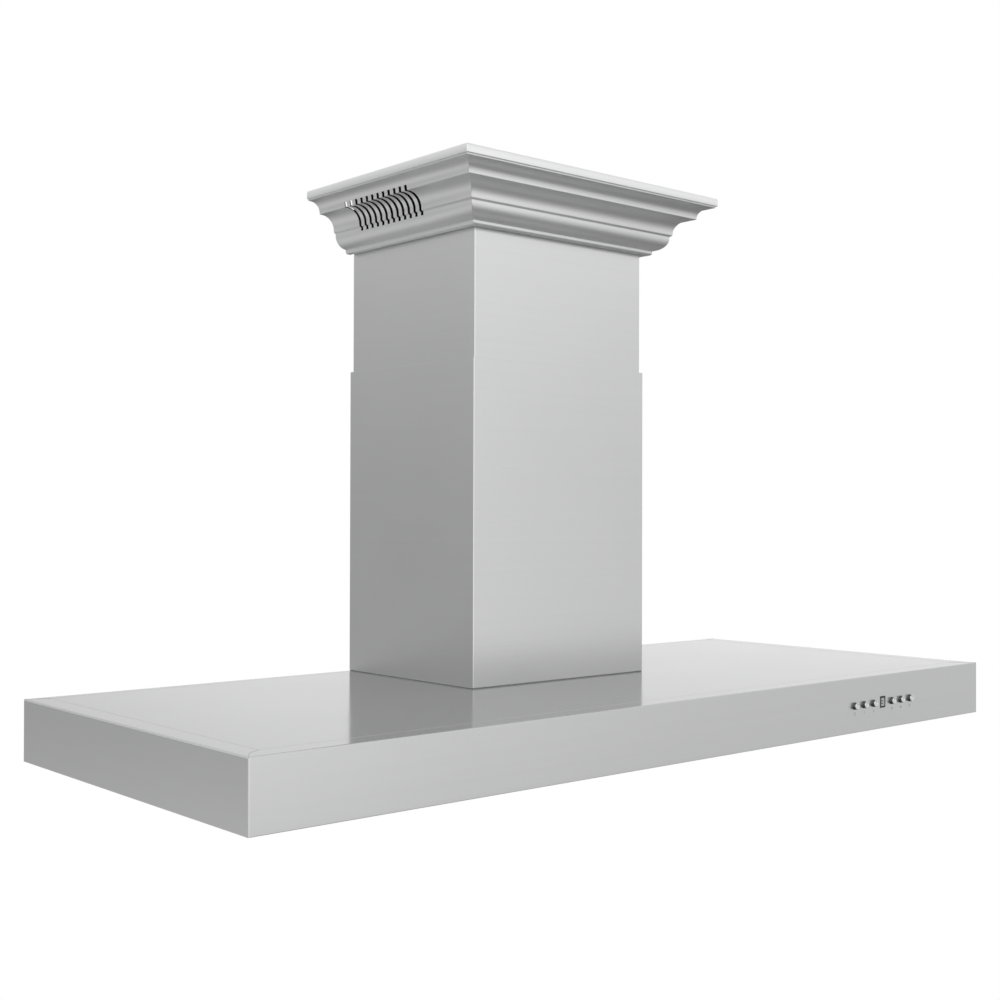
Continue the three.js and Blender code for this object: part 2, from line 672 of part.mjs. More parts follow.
// The moulding's profile as [reach, height], from its underside up: a foot, a quarter round,
// a fillet, a deep cove, a ledge, a shallower cove, a narrow band, and the flat fascia.
function crownProfile() {
  const { bottom, top, reach } = CROWN;
  const bend = ({ reach: a, rise, radius }, from, to) => arc([a, bottom + rise], radius, from, to);
  return [
    [FOOT.reach, bottom], [FOOT.reach + FOOT.flare, bottom + FOOT.rise],
    ...bend(OVOLO, OVOLO.start, 0), [FILLET.reach, bottom + FILLET.rise],
    ...bend(COVE, 180, 90), ...bend(UPPER_COVE, 180, 90),
    [BAND.reach, bottom + BAND.rise], [BAND.reach, bottom + FASCIA.rise],
    [reach, bottom + FASCIA.rise], [reach, top],
  ];
}

// Everything inside the moulding's profile, mitred at the corners. The profile can be moved in and
// up, which gives the inner face of a thin wall.
function crownBlock(shift, back) {
  const half = UPPER.width / 2;
  const profile = crownProfile().map(([reach, z]) => [reach - shift, z + shift]);
  const right = profile.map(([reach, z]) => [half + reach, z]);
  const left = [...right].reverse().map(([x, z]) => [-x, z]);
  const farFront = -UPPER.depth - 2 * CROWN.reach;
  const side = profile.map(([reach, z]) => [-UPPER.depth - reach, z]);
  const ends = [[back, profile.at(-1)[1]], [back, profile[0][1]]];
  return push("y", [...right, ...left], farFront, back)
    .intersect(push("x", [...side, ...ends], -2 * half, 2 * half));
}

function crownMoulding() {
  const { top, wall, topFlange, reach, bottom } = CROWN;
  const half = UPPER.width / 2;
  const [far, near] = [half + 2 * reach, UPPER.depth + 2 * reach];
  const inner = crownBlock(wall, OVERCUT)
    .intersect(box([-far, far], [-near, 2 * OVERCUT], [bottom, top - wall]));
  const open = reach - topFlange;
  const slots = Array.from({ length: SLOT.count }, (_, i) => {
    const y = SLOT.first + i * SLOT.pitch;
    return box(
      [-half - reach - OVERCUT, half + reach + OVERCUT],
      [y - SLOT.width / 2, y + SLOT.width / 2], [SLOT.bottom, SLOT.top],
    );
  });
  return cut(
    crownBlock(0, 0),
    inner,
    box([-half - open, half + open], [-UPPER.depth - open, OVERCUT], [top - 2 * wall, top + OVERCUT]),
    box([-half - GAP, half + GAP], [-UPPER.depth - GAP, OVERCUT], [bottom - OVERCUT, top]),
    ...slots,
  );
}

// A slim enclosure behind the slots whose sloping face carries a row of drivers.
// side is -1 for the left loudspeaker and 1 for the right.
function speaker(side) {
  const { from, to, drivers, driverRadius, driverDepth, taper, section, driverAt } = SPEAKER;
  const foot = side * (UPPER.width / 2);
  const outline = section.map(([reach, z]) => [foot + side * reach, z]);
  const [, [lowReach, lowZ], [highReach, highZ]] = section;
  const slope = new THREE.Vector3(side * (highZ - lowZ), 0, lowReach - highReach).normalize();
  const turn = new THREE.Quaternion().setFromUnitVectors(Y, slope);
  const dishes = spread(drivers, (to - from) / drivers).map((place) => {
    const dish = new THREE.CylinderGeometry(driverRadius, driverRadius * taper, driverDepth, SMALL_SIDES);
    dish.applyQuaternion(turn).translate(foot + side * driverAt[0], (from + to) / 2 + place, driverAt[1]);
    return solid(dish);
  });
  return cut(push("y", outline, from, to), ...dishes);
}

// The black gauze between a loudspeaker and the slots.
function speakerMesh(side) {
  const foot = side * (UPPER.width / 2);
  const corners = SPEAKER.gauze.flatMap(([reach, z], i) =>
    [SPEAKER.gauzeFront, SPEAKER.gauzeBack[i]].map((y) => new THREE.Vector3(foot + side * reach, y, z)));
  return solid(new ConvexGeometry(corners));
}

// The receiver and amplifier, on the front of the upper bracket.
function audioModule() {
  const { x, z, depth, earsX, earsZ, ear } = AUDIO;
  const back = -BRACKET.sheet - GAP;
  return join(
    box([-x, x], [back - depth, back], z),
    box([-earsX, earsX], [back - ear, back], earsZ),
  );
}

// ---- Assembly --------------------------------------------------------------------------------

function at(mesh, x, y, z) {
  mesh.position.set(x, y, z);
  return mesh;
}

function group(...members) {
  const made = new THREE.Group();
  made.add(...members);
  return made;
}

function canopyGroup() {
  return group(
    piece("canopy_shell", canopyShell(), BRUSHED_STEEL),
    piece("top_panel", topPanel(), BRUSHED_STEEL),
    piece("underside_pan", undersidePan(), BRUSHED_STEEL),
    piece("filter_rail", filterRail(), GALVANISED),
    piece("wall_bracket", wallBracket(), GALVANISED),
    piece("led_driver", ledDriver(), WHITE_PLASTIC),
    ...lampPlaces.flatMap((x, i) => [
      at(piece(`led_housing_${i + 1}`, ledHousing(), POLISHED), x, LAMP.y, PAN.bottom),
      at(piece(`led_lens_${i + 1}`, ledLens(), LENS), x, LAMP.y, PAN.bottom),
    ]),
  );
}

function filterGroup(x, number) {
  const made = group(
    piece(`baffle_filter_${number}`, baffleFilter(), BAFFLE_STEEL),
    piece(`filter_latch_${number}`, filterLatch(), POLISHED),
  );
  return at(made, x, FILTER.rear, panTop + GAP);
}

function controlsGroup() {
  return group(
    piece("control_housing", controlHousing(), BLACK_PLASTIC),
    piece("control_board", controlBoard(), CIRCUIT_GREEN),
    piece("display_bezel", displayBezel(), BLACK_PLASTIC),
    piece("display_window", displayWindow(), DARK_GLASS),
    ...buttonPlaces.map((x, i) =>
      at(piece(`button_${i + 1}`, button(), POLISHED), x, -CANOPY.depth, CONTROLS.z)),
  );
}

function blowerGroup() {
  const onAxis = group(
    piece("impeller", impeller(), BLACK_PLASTIC),
    piece("motor_shaft", motorShaft(), POLISHED),
    piece("fan_motor", fanMotor(), GALVANISED),
    piece("motor_bracket", motorBracket(), GALVANISED),
  );
  const flaps = [-1, 1].map((side) =>
    piece(side < 0 ? "damper_flap_left" : "damper_flap_right", damperFlap(side), GALVANISED));
  return group(
    piece("blower_box", blowerBox(), GALVANISED),
    piece("fan_scroll", fanScroll(), GALVANISED),
    at(onAxis, 0, FAN.y, FAN.z),
    piece("duct_collar", ductCollar(), BLACK_PLASTIC),
    piece("damper_pin", damperPin(), POLISHED),
    at(group(...flaps), 0, COLLAR.y, DAMPER.z),
    piece("junction_box", junctionBox(), GALVANISED),
    piece("junction_lid", junctionLid(), GALVANISED),
    piece("cable_gland", cableGland(), GREY_PLASTIC),
    piece("motor_capacitor", motorCapacitor(), WHITE_PLASTIC),
  );
}

function chimneyGroup() {
  const { lowerSheet, lowerZ, upperSheet, upperZ } = BRACKET;
  const lowerTabs = LOWER.width / 2 - LOWER.sheet;
  const upperTabs = UPPER.width / 2 - UPPER.sheet;
  return group(
    piece("lower_chimney_cover", lowerChimneyCover(), BRUSHED_STEEL),
    piece("lower_chimney_bracket", chimneyBracket(lowerTabs, lowerSheet, lowerZ), GALVANISED),
    piece("upper_chimney_cover", upperChimneyCover(), BRUSHED_STEEL),
    piece("upper_chimney_bracket", chimneyBracket(upperTabs, upperSheet, upperZ), GALVANISED),
    piece("crown_moulding", crownMoulding(), BRUSHED_STEEL),
    piece("speaker_left", speaker(-1), BLACK_PLASTIC),
    piece("speaker_right", speaker(1), BLACK_PLASTIC),
    piece("speaker_mesh_left", speakerMesh(-1), BLACK_MESH),
    piece("speaker_mesh_right", speakerMesh(1), BLACK_MESH),
    piece("audio_module", audioModule(), BLACK_PLASTIC),
  );
}

const hood = group(
  canopyGroup(),
  ...filterPlaces.map((x, i) => filterGroup(x, i + 1)),
  controlsGroup(),
  blowerGroup(),
  chimneyGroup(),
);
hood.position.z = -CANOPY.height / 2;

export default hood;
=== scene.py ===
"""Looks of the wall-hung range hood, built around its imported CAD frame. Metres throughout."""
import json
import math

import bmesh
import bpy
from mathutils import Matrix, Vector


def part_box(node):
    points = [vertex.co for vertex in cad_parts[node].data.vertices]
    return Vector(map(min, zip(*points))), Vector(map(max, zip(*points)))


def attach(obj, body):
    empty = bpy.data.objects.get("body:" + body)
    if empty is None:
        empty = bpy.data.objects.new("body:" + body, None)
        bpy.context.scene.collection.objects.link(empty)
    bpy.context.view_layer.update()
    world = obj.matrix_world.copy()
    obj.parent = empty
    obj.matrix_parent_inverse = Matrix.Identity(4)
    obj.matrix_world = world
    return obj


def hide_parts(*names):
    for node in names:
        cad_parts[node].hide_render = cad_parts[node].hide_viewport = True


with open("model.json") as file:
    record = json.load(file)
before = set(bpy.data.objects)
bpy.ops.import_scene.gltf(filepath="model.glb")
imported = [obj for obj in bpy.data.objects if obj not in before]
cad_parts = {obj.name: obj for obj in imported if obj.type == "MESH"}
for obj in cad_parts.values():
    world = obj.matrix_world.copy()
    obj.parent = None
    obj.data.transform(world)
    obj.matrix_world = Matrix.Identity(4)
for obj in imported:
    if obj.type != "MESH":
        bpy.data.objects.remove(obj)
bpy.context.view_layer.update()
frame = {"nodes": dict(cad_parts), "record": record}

MM = 0.001
NODES = frame["nodes"]
RECORD = frame["record"]
BODY = {node: body for body, members in RECORD["behaviour"]["bodies"].items() for node in members}
SLOT = {part["node"]: part["material_slot"] for part in RECORD["subparts"]}


# ---- Camera, light and floor -----------------------------------------------------------------

CAMERA_AT = (-1.2611, -1.5898, 0.2561)
CAMERA_TURN = math.radians(41.01)  # from +Y towards +X
CAMERA_RISE = math.radians(0.427)
CAMERA_ROLL = math.radians(0.147)
LENS = 50.515


def add_camera():
    rise, turn, roll = CAMERA_RISE, CAMERA_TURN, CAMERA_ROLL
    level = math.cos(rise)
    ahead = Vector((math.sin(turn) * level, math.cos(turn) * level, math.sin(rise)))
    right = Vector((math.cos(turn), -math.sin(turn), 0))
    up = right.cross(ahead)
    rolled = math.cos(roll) * right + math.sin(roll) * up
    top = rolled.cross(ahead)
    data = bpy.data.cameras.new("camera")
    data.lens = LENS
    camera = bpy.data.objects.new("camera", data)
    bpy.context.scene.collection.objects.link(camera)
    basis = Matrix((rolled, top, -ahead)).transposed()
    camera.matrix_world = Matrix.Translation(CAMERA_AT) @ basis.to_4x4()
    data.clip_start, data.clip_end = 0.05, 60
    bpy.context.scene.camera = camera


class Nodes:
    """A node tree with short calls for the nodes that the finishes below use."""

    def __init__(self, tree):
        self.tree = tree

    def new(self, kind, inputs=None, **settings):
        node = self.tree.nodes.new(kind)
        for key, value in settings.items():
            setattr(node, key, value)
        for key, value in (inputs or {}).items():
            self.feed(node.inputs[key], value)
        return node

    def feed(self, socket, value):
        if isinstance(value, bpy.types.NodeSocket):
            self.tree.links.new(value, socket)
        else:
            socket.default_value = value

    def math(self, operation, a, b=0.0):
        return self.new("ShaderNodeMath", {0: a, 1: b}, operation=operation).outputs[0]

    def span(self, value, low, high, to_low=0.0, to_high=1.0, smooth=False):
        kind = "SMOOTHSTEP" if smooth else "LINEAR"
        inputs = {0: value, 1: low, 2: high, 3: to_low, 4: to_high}
        return self.new("ShaderNodeMapRange", inputs, interpolation_type=kind).outputs[0]

    def dot(self, a, b):
        node = self.new("ShaderNodeVectorMath", {0: a, 1: b}, operation="DOT_PRODUCT")
        return node.outputs["Value"]

    def scaled(self, vector, scale):
        inputs = {0: vector, 1: scale}
        return self.new("ShaderNodeVectorMath", inputs, operation="MULTIPLY").outputs[0]

    def noise(self, vector, scale=1.0, detail=2.0, roughness=0.5):
        inputs = {"Vector": vector, "Scale": scale, "Detail": detail, "Roughness": roughness}
        return self.new("ShaderNodeTexNoise", inputs).outputs[0]

    def blend(self, share, a, b):
        return self.new("ShaderNodeMix", {0: share, 2: a, 3: b}, data_type="FLOAT").outputs[0]

    def tint(self, share, a, b):
        """Mixes two colours, each a triple or a socket."""
        a, b = (c if isinstance(c, bpy.types.NodeSocket) else (*c, 1) for c in (a, b))
        return self.new("ShaderNodeMix", {0: share, 6: a, 7: b}, data_type="RGBA").outputs[2]


# brightness of the room against the sine of the height angle, in three directions
TOWARDS_FRONT = [
    (-1, 0.12), (-0.6, 0.14), (-0.36, 0.26), (-0.22, 0.78), (-0.12, 0.86), (0, 0.76),
    (0.14, 0.84), (0.25, 1.4), (0.4, 1.15), (0.6, 0.85), (0.8, 0.8), (0.9, 0.6),
]
TOWARDS_BACK_LEFT = [
    (-1, 0.3), (-0.45, 1.0), (-0.3, 0.85), (-0.17, 0.54), (-0.08, 0.42), (0, 0.48),
    (0.17, 0.61), (0.25, 0.95), (0.8, 1.1), (0.9, 0.6), (1, 0.35),
]
TOWARDS_BACK_RIGHT = [
    (-1, 0.2), (-0.25, 0.22), (-0.05, 0.4), (0.06, 1.74), (0.15, 1.79),
    (0.3, 1.45), (0.5, 1.1), (0.8, 1.1), (0.9, 0.6), (1, 0.35),
]
FULL_RAMP = 2.0  # the brightness that a ramp's white stands for
BACK_LEFT, BACK_RIGHT = (-0.6, 0.8, 0), (0.656, 0.755, 0)
TAKE_OVER = (0.3, 0.9)  # cosines to a back direction between which its levels take over
# two soft patches of light: direction, cosine at the rim, brightness
PATCHES = [((-0.6, -0.8, 0), 0.84, 0.3), ((0.2, -0.98, -0.1), 0.78, 0.22)]


def add_world():
    """A white studio, seen by the steel as a soft gradient. The camera itself sees plain white."""
    world = bpy.data.worlds.new("studio")
    bpy.context.scene.world = world
    world.use_nodes = True
    tree = world.node_tree
    tree.nodes.clear()
    n = Nodes(tree)
    direction = n.new("ShaderNodeTexCoord").outputs["Generated"]
    height = n.span(n.dot(direction, (0, 0, 1)), -1, 1)

    def by_height(levels):
        ramp = n.new("ShaderNodeValToRGB", {0: height})
        for _ in levels[2:]:
            ramp.color_ramp.elements.new(0.5)
        for stop, (sine, level) in zip(ramp.color_ramp.elements, levels):
            stop.position = (sine + 1) / 2
            stop.color = (level / FULL_RAMP,) * 3 + (1,)
        return n.new("ShaderNodeSeparateColor", {0: ramp.outputs[0]}).outputs[0]

    def share(axis, low, high):
        return n.span(n.dot(direction, axis), low, high, smooth=True)

    right = share(BACK_RIGHT, *TAKE_OVER)
    level = n.blend(right, by_height(TOWARDS_FRONT), by_height(TOWARDS_BACK_RIGHT))
    level = n.blend(share(BACK_LEFT, *TAKE_OVER), level, by_height(TOWARDS_BACK_LEFT))
    for axis, rim, brightness in PATCHES:
        level = n.math("ADD", level, n.math("MULTIPLY", share(axis, rim, 1.0), brightness))
    lit = n.new("ShaderNodeBackground", {"Strength": n.math("MULTIPLY", level, FULL_RAMP)})
    plain = n.new("ShaderNodeBackground", {"Color": (1, 1, 1, 1), "Strength": 1.0})
    seen = n.new("ShaderNodeLightPath").outputs["Is Camera Ray"]
    both = n.new("ShaderNodeMixShader", {0: seen, 1: lit.outputs[0], 2: plain.outputs[0]})
    n.new("ShaderNodeOutputWorld", {"Surface": both.outputs[0]})


def add_light(name, place, target, size, power):
    data = bpy.data.lights.new(name, "AREA")
    data.shape, data.size, data.energy = "DISK", size, power
    light = bpy.data.objects.new(name, data)
    bpy.context.scene.collection.objects.link(light)
    light.location = place
    light.rotation_euler = (Vector(target) - Vector(place)).to_track_quat("-Z", "Y").to_euler()


FLOOR_Z, FLOOR_RADIUS = -1.45, 2.4
FLOOR_FADE = 0.35  # share of the radius from which the floor turns plain white
# tones for the light that the floor sends to the steel, and for the camera
FLOOR_TONES, GLOW_TONES = (0.24, 0.93), (0.25, 1.0)


def add_floor():
    mesh = bpy.data.meshes.new("floor")
    bm = bmesh.new()
    bmesh.ops.create_circle(bm, cap_ends=True, radius=FLOOR_RADIUS, segments=96)
    bm.to_mesh(mesh)
    bm.free()
    floor = bpy.data.objects.new("floor", mesh)
    floor.location = (0, -0.25, FLOOR_Z)
    bpy.context.scene.collection.objects.link(floor)
    material = bpy.data.materials.new("pale_floor")
    material.use_nodes = True
    tree = material.node_tree
    tree.nodes.clear()
    n = Nodes(tree)
    place = n.new("ShaderNodeTexCoord").outputs["Object"]
    distance = n.new("ShaderNodeVectorMath", {0: place}, operation="LENGTH").outputs["Value"]
    edge = n.span(distance, FLOOR_FADE * FLOOR_RADIUS, FLOOR_RADIUS, smooth=True)
    seen = n.new("ShaderNodeLightPath").outputs["Is Camera Ray"]
    tone, glow = (n.tint(seen, (a,) * 3, (b,) * 3) for a, b in (FLOOR_TONES, GLOW_TONES))
    matt = n.new("ShaderNodeBsdfDiffuse", {"Color": tone})
    white = n.new("ShaderNodeEmission", {"Color": glow, "Strength": 1.0})
    both = n.new("ShaderNodeMixShader", {0: edge, 1: matt.outputs[0], 2: white.outputs[0]})
    n.new("ShaderNodeOutputMaterial", {"Surface": both.outputs[0]})
    mesh.materials.append(material)


# ---- Finishes --------------------------------------------------------------------------------


def start_finish(name, metallic=0.0, **sockets):
    material = bpy.data.materials.new(name)
    material.use_nodes = True
    shader = material.node_tree.nodes["Principled BSDF"]
    shader.inputs["Metallic"].default_value = metallic
    for key, value in sockets.items():
        shader.inputs[key.replace("_", " ")].default_value = value
    n = Nodes(material.node_tree)
    n.shader, n.material = shader, material
    coords = n.new("ShaderNodeTexCoord")
    n.place, n.normal = coords.outputs["Object"], coords.outputs["Normal"]
    return n


def colored(n, tone, color, spread, wear=0.0):
    """Feeds the base colour: it varies with tone, and patches of the edges are rubbed lighter."""
    dark, light, rubbed = (
        tuple(min(1.0, c * (1 + s)) for c in color) for s in (-spread, spread, wear))
    base = n.tint(tone, dark, light)
    if wear:
        rounded = n.new("ShaderNodeBevel", {"Radius": 1.2 * MM}, samples=4).outputs[0]
        plain = n.new("ShaderNodeNewGeometry").outputs["Normal"]
        edge = n.span(n.dot(rounded, plain), 0.99, 0.8)
        patches = n.span(n.noise(n.place, scale=140, detail=3), 0.42, 0.6)
        base = n.tint(n.math("MULTIPLY", edge, patches), base, rubbed)
    n.feed(n.shader.inputs["Base Color"], base)


def finished(n, roughness, pattern, relief):
    """Feeds the roughness, and a bump that is relief metres deep. Returns the material."""
    bump = n.new("ShaderNodeBump", {"Height": pattern, "Distance": relief, "Strength": 1.0})
    n.feed(n.shader.inputs["Roughness"], roughness)
    n.feed(n.shader.inputs["Normal"], bump.outputs[0])
    return n.material


def brushed(name, color, roughness, streak=0.03, relief=3e-6, grain=(4, 4, 900),
            flat_grain=(4, 900, 4), metallic=1.0, **sockets):
    """Steel brushed along the sheet, in fine lines and in wide bands of tone.

    grain squeezes the lines along X, Y and Z on upright faces, flat_grain on level ones. streak is
    how far the bands' tone varies.
    """
    n = start_finish(name, metallic, **sockets)
    upright = n.new("ShaderNodeSeparateXYZ", {0: n.normal}).outputs["Z"]
    level = n.math("GREATER_THAN", n.math("ABSOLUTE", upright), 0.75)

    def lines(scale, detail, roughness):
        both = (n.scaled(n.place, [scale * g for g in axes]) for axes in (grain, flat_grain))
        return n.blend(level, *(n.noise(v, detail=detail, roughness=roughness) for v in both))

    fine, bands = lines(1, 3, 0.7), lines(0.16, 2, 0.6)
    cloud = n.noise(n.place, scale=7, detail=3)
    tone = n.math("ADD", n.math("MULTIPLY", bands, 0.75), n.math("MULTIPLY", cloud, 0.25))
    colored(n, n.span(tone, 0.25, 0.75), color, streak)
    uneven = n.math("ADD", n.math("MULTIPLY", fine, 0.6), n.math("MULTIPLY", cloud, 0.4))
    rough = n.span(uneven, 0.25, 0.75, roughness - 0.04, roughness + 0.05)
    return finished(n, rough, fine, relief)


def galvanised(name, color, roughness):
    """Zinc-coated sheet with its crystal spangle."""
    n = start_finish(name, metallic=1.0)
    swirl = n.new("ShaderNodeTexNoise", {"Vector": n.place, "Scale": 160.0}).outputs[1]
    shift = n.scaled(swirl, (0.004,) * 3)
    warped = n.new("ShaderNodeVectorMath", {0: n.place, 1: shift}, operation="ADD").outputs[0]
    cells = n.new("ShaderNodeTexVoronoi", {"Vector": warped, "Scale": 170.0}).outputs["Color"]
    spangle = n.new("ShaderNodeSeparateXYZ", {0: cells}).outputs["X"]
    colored(n, spangle, color, 0.08, wear=0.2)
    rough = n.span(spangle, 0, 1, roughness - 0.05, roughness + 0.05)
    return finished(n, rough, n.noise(n.place, scale=900), 6e-6)


def polished(name, color, roughness):
    """Bright steel with hairline scratches and slightly uneven polish."""
    n = start_finish(name, metallic=1.0)
    hair = n.noise(n.scaled(n.place, (300, 2600, 2600)), detail=2)
    cloud = n.noise(n.place, scale=90, detail=2)
    colored(n, cloud, color, 0.03, wear=0.08)
    rough = n.span(cloud, 0.3, 0.7, roughness - 0.03, roughness + 0.05)
    return finished(n, rough, hair, 1.5e-6)


def moulded(name, color, roughness, relief=1.2e-5, **sockets):
    """Moulded plastic with a fine spark-eroded grain."""
    n = start_finish(name, **sockets)
    grit = n.noise(n.place, scale=1600, detail=2)
    cloud = n.noise(n.place, scale=30, detail=2)
    colored(n, cloud, color, 0.08, wear=0.5)
    rough = n.span(cloud, 0.3, 0.7, roughness - 0.05, roughness + 0.06)
    return finished(n, rough, grit, relief)


def gauze(name):
    """Black woven loudspeaker mesh."""
    n = start_finish(name, Specular_IOR_Level=0.1)
    thread_pitch = 1.1 * MM
    lines = n.scaled(n.place, (2 * math.pi / thread_pitch,) * 3)
    split = n.new("ShaderNodeSeparateXYZ", {0: lines})
    across, along = (n.math("SINE", split.outputs[axis]) for axis in "YZ")
    weave = n.span(n.math("MULTIPLY", across, along), -1, 1)
    color = n.tint(weave, (0.002, 0.002, 0.002), (0.012, 0.012, 0.013))
    n.feed(n.shader.inputs["Base Color"], color)
    return finished(n, n.span(weave, 0, 1, 0.75, 0.6), weave, 1.5e-4)


def lens(name):
    """Frosted lamp lens, a little translucent."""
    n = start_finish(name, Transmission_Weight=0.15, Coat_Weight=0.3)
    frost = n.noise(n.place, scale=1500, detail=2)
    color = n.tint(n.noise(n.place, scale=60), (0.86, 0.86, 0.83), (0.93, 0.93, 0.91))
    n.feed(n.shader.inputs["Base Color"], color)
    return finished(n, n.span(frost, 0.3, 0.7, 0.25, 0.4), frost, 2e-5)


def board(name):
    """Green circuit board with paler traces."""
    n = start_finish(name, Coat_Weight=0.3)
    maze = n.new("ShaderNodeTexVoronoi", {"Vector": n.place, "Scale": 260.0},
                 distance="CHEBYCHEV", feature="DISTANCE_TO_EDGE").outputs[0]
    trace = n.math("LESS_THAN", maze, 0.07)
    color = n.tint(trace, (0.012, 0.09, 0.035), (0.04, 0.2, 0.08))
    n.feed(n.shader.inputs["Base Color"], color)
    return finished(n, n.span(n.noise(n.place, scale=80), 0.3, 0.7, 0.4, 0.55), trace, 4e-5)


def cast(name, color, roughness):
    """Painted motor casing with a cast, slightly pitted skin."""
    n = start_finish(name, metallic=0.6)
    pits = n.noise(n.place, scale=420, detail=4, roughness=0.7)
    colored(n, pits, color, 0.2, wear=0.6)
    rough = n.span(pits, 0.3, 0.7, roughness - 0.08, roughness + 0.1)
    return finished(n, rough, pits, 8e-5)


STEEL = (0.74, 0.742, 0.745)
FINISH = {
    "brushed_stainless": brushed("brushed_sheet", STEEL, 0.30, streak=0.012, relief=1.5e-6),
    "underside_steel": brushed("underside_sheet", (0.70, 0.705, 0.71), 0.34, streak=0.04),
    "filter_steel": brushed("baffle_sheet", (0.76, 0.765, 0.77), 0.28, relief=1.5e-6,
                            grain=(900, 4, 40), flat_grain=(900, 4, 4)),
    "galvanised_steel": galvanised("galvanised_sheet", (0.60, 0.615, 0.625), 0.42),
    "motor_casing": cast("motor_paint", (0.20, 0.205, 0.21), 0.5),
    "polished_steel": polished("polished_steel_finish", (0.86, 0.865, 0.87), 0.12),
    "black_plastic": moulded("black_moulded", (0.022, 0.022, 0.024), 0.5),
    "speaker_gauze": gauze("black_gauze"),
    "grey_plastic": moulded("grey_moulded", (0.24, 0.245, 0.25), 0.5),
    "white_plastic": moulded("white_moulded", (0.76, 0.76, 0.73), 0.42),
    "circuit_board": board("green_board"),
    "lamp_lens": lens("frosted_lens"),
    "display_glass": moulded(
        "display_face", (0.50, 0.52, 0.52), 0.18, relief=2e-6, Coat_Weight=0.6),
}
# Lighter copies of the brushed steel for the crown, and lighter still for its top band: painted
# light that brightens the crown.
LIT_CROWN_STEEL = brushed("crown_sheet_painted_light", (0.82, 0.822, 0.825), 0.48, streak=0.01, relief=1e-6)
LIT_BAND_STEEL = brushed("crown_band_painted_light", (0.9, 0.902, 0.905), 0.44, streak=0.01, relief=1e-6)
# A darker, partly metallic copy of the brushed steel for the canopy's upward faces and the top
# panel: painted shade that darkens what the top reflects.
SHADED_TOP_STEEL = brushed("top_sheet_painted_shade", (0.70, 0.702, 0.705), 0.12, streak=0.01, relief=1e-6,
                    metallic=0.55, Specular_Tint=(0.4, 0.4, 0.4, 1), Specular_IOR_Level=0.3)
# Flat black, unreflecting walls for the crown's slots: painted shade that darkens the slots.
SHADED_SLOT_WALL = moulded("slot_wall_painted_shade", (0.003, 0.003, 0.003), 0.8, Specular_IOR_Level=0.0)
BEZEL = moulded("bezel_plastic", (0.055, 0.055, 0.058), 0.45)
# A darkened copy of the polished steel for the buttons' sides: painted shade.
SHADED_CHROME = polished("button_side_painted_shade", (0.16, 0.162, 0.165), 0.22)
SATIN = brushed("satin_cap", (0.88, 0.885, 0.89), 0.24, relief=1e-6)
SEAM = brushed("seam_steel", (0.36, 0.362, 0.365), 0.42)
ETCHED = moulded("etched_mark", (0.36, 0.36, 0.36), 0.6)


# ---- Meshes ----------------------------------------------------------------------------------


def place(name, bm, material, body, slot, stands_for=(), smooth_below=32):
    """Turns a bmesh into a piece that rides on a body.

    Edges sharper than smooth_below degrees stay crisp.
    """
    mesh = bpy.data.meshes.new(name)
    bmesh.ops.recalc_face_normals(bm, faces=bm.faces)
    bm.to_mesh(mesh)
    bm.free()
    mesh.shade_smooth()
    mesh.set_sharp_from_angle(angle=math.radians(smooth_below))
    for m in material if isinstance(material, (list, tuple)) else [material]:
        mesh.materials.append(m)
    piece = bpy.data.objects.new(name, mesh)
    bpy.context.scene.collection.objects.link(piece)
    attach(piece, body)
    if stands_for:
        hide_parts(*stands_for)


def add_block(bm, low, high):
    """A box between two corners."""
    made = bmesh.ops.create_cube(bm, size=1.0)["verts"]
    size = Vector(high) - Vector(low)
    middle = (Vector(high) + Vector(low)) / 2
    matrix = Matrix.Translation(middle) @ Matrix.Diagonal((*size, 1))
    bmesh.ops.transform(bm, matrix=matrix, verts=made)


def add_lathe(bm, profile, matrix, sides=40, indices=None):
    """Turns (radius, height) points about the matrix's Z, in mm, from the top down the outside.

    indices holds a material index for each step of the profile.
    """
    rings = []
    for radius, height in profile:
        ring = []
        for i in range(sides if radius else 1):
            angle = 2 * math.pi * i / sides
            x, y = radius * MM * math.cos(angle), radius * MM * math.sin(angle)
            ring.append(bm.verts.new(matrix @ Vector((x, y, height * MM))))
        rings.append(ring)
    for k, (upper, lower) in enumerate(zip(rings, rings[1:])):
        for i in range(sides):
            j = (i + 1) % sides
            corners = [upper[i % len(upper)], lower[i % len(lower)],
                       lower[j % len(lower)], upper[j % len(upper)]]
            unique = list(dict.fromkeys(corners))
            if len(unique) > 2:
                face = bm.faces.new(unique)
                if indices:
                    face.material_index = indices[k]


def smoothed_path(points, steps=8):
    """A smooth line through the points."""
    pts = [Vector(p) for p in points]
    pts = [2 * pts[0] - pts[1], *pts, 2 * pts[-1] - pts[-2]]
    line = []
    for a, b, c, d in zip(pts, pts[1:], pts[2:], pts[3:]):
        for i in range(steps):
            t = i / steps
            line.append(0.5 * ((2 * b) + (c - a) * t + (2 * a - 5 * b + 4 * c - d) * t * t
                               + (3 * b - 3 * c + d - a) * t * t * t))
    return [*line, pts[-2]]


def add_tube(bm, points, radius, sides=10, steps=8):
    """A round wire along a smooth path, closed at both ends."""
    line = smoothed_path(points, steps)
    side = (line[1] - line[0]).orthogonal().normalized()
    rings = []
    for i, point in enumerate(line):
        ahead = (line[min(i + 1, len(line) - 1)] - line[max(i - 1, 0)]).normalized()
        side = (side - side.dot(ahead) * ahead).normalized()
        other = ahead.cross(side)
        rings.append([
            bm.verts.new(point + radius * (math.cos(a) * side + math.sin(a) * other))
            for a in (2 * math.pi * k / sides for k in range(sides))
        ])
    for first, second in zip(rings, rings[1:]):
        for k in range(sides):
            m = (k + 1) % sides
            bm.faces.new([first[k], first[m], second[m], second[k]])
    bm.faces.new(rings[0][::-1])
    bm.faces.new(rings[-1])


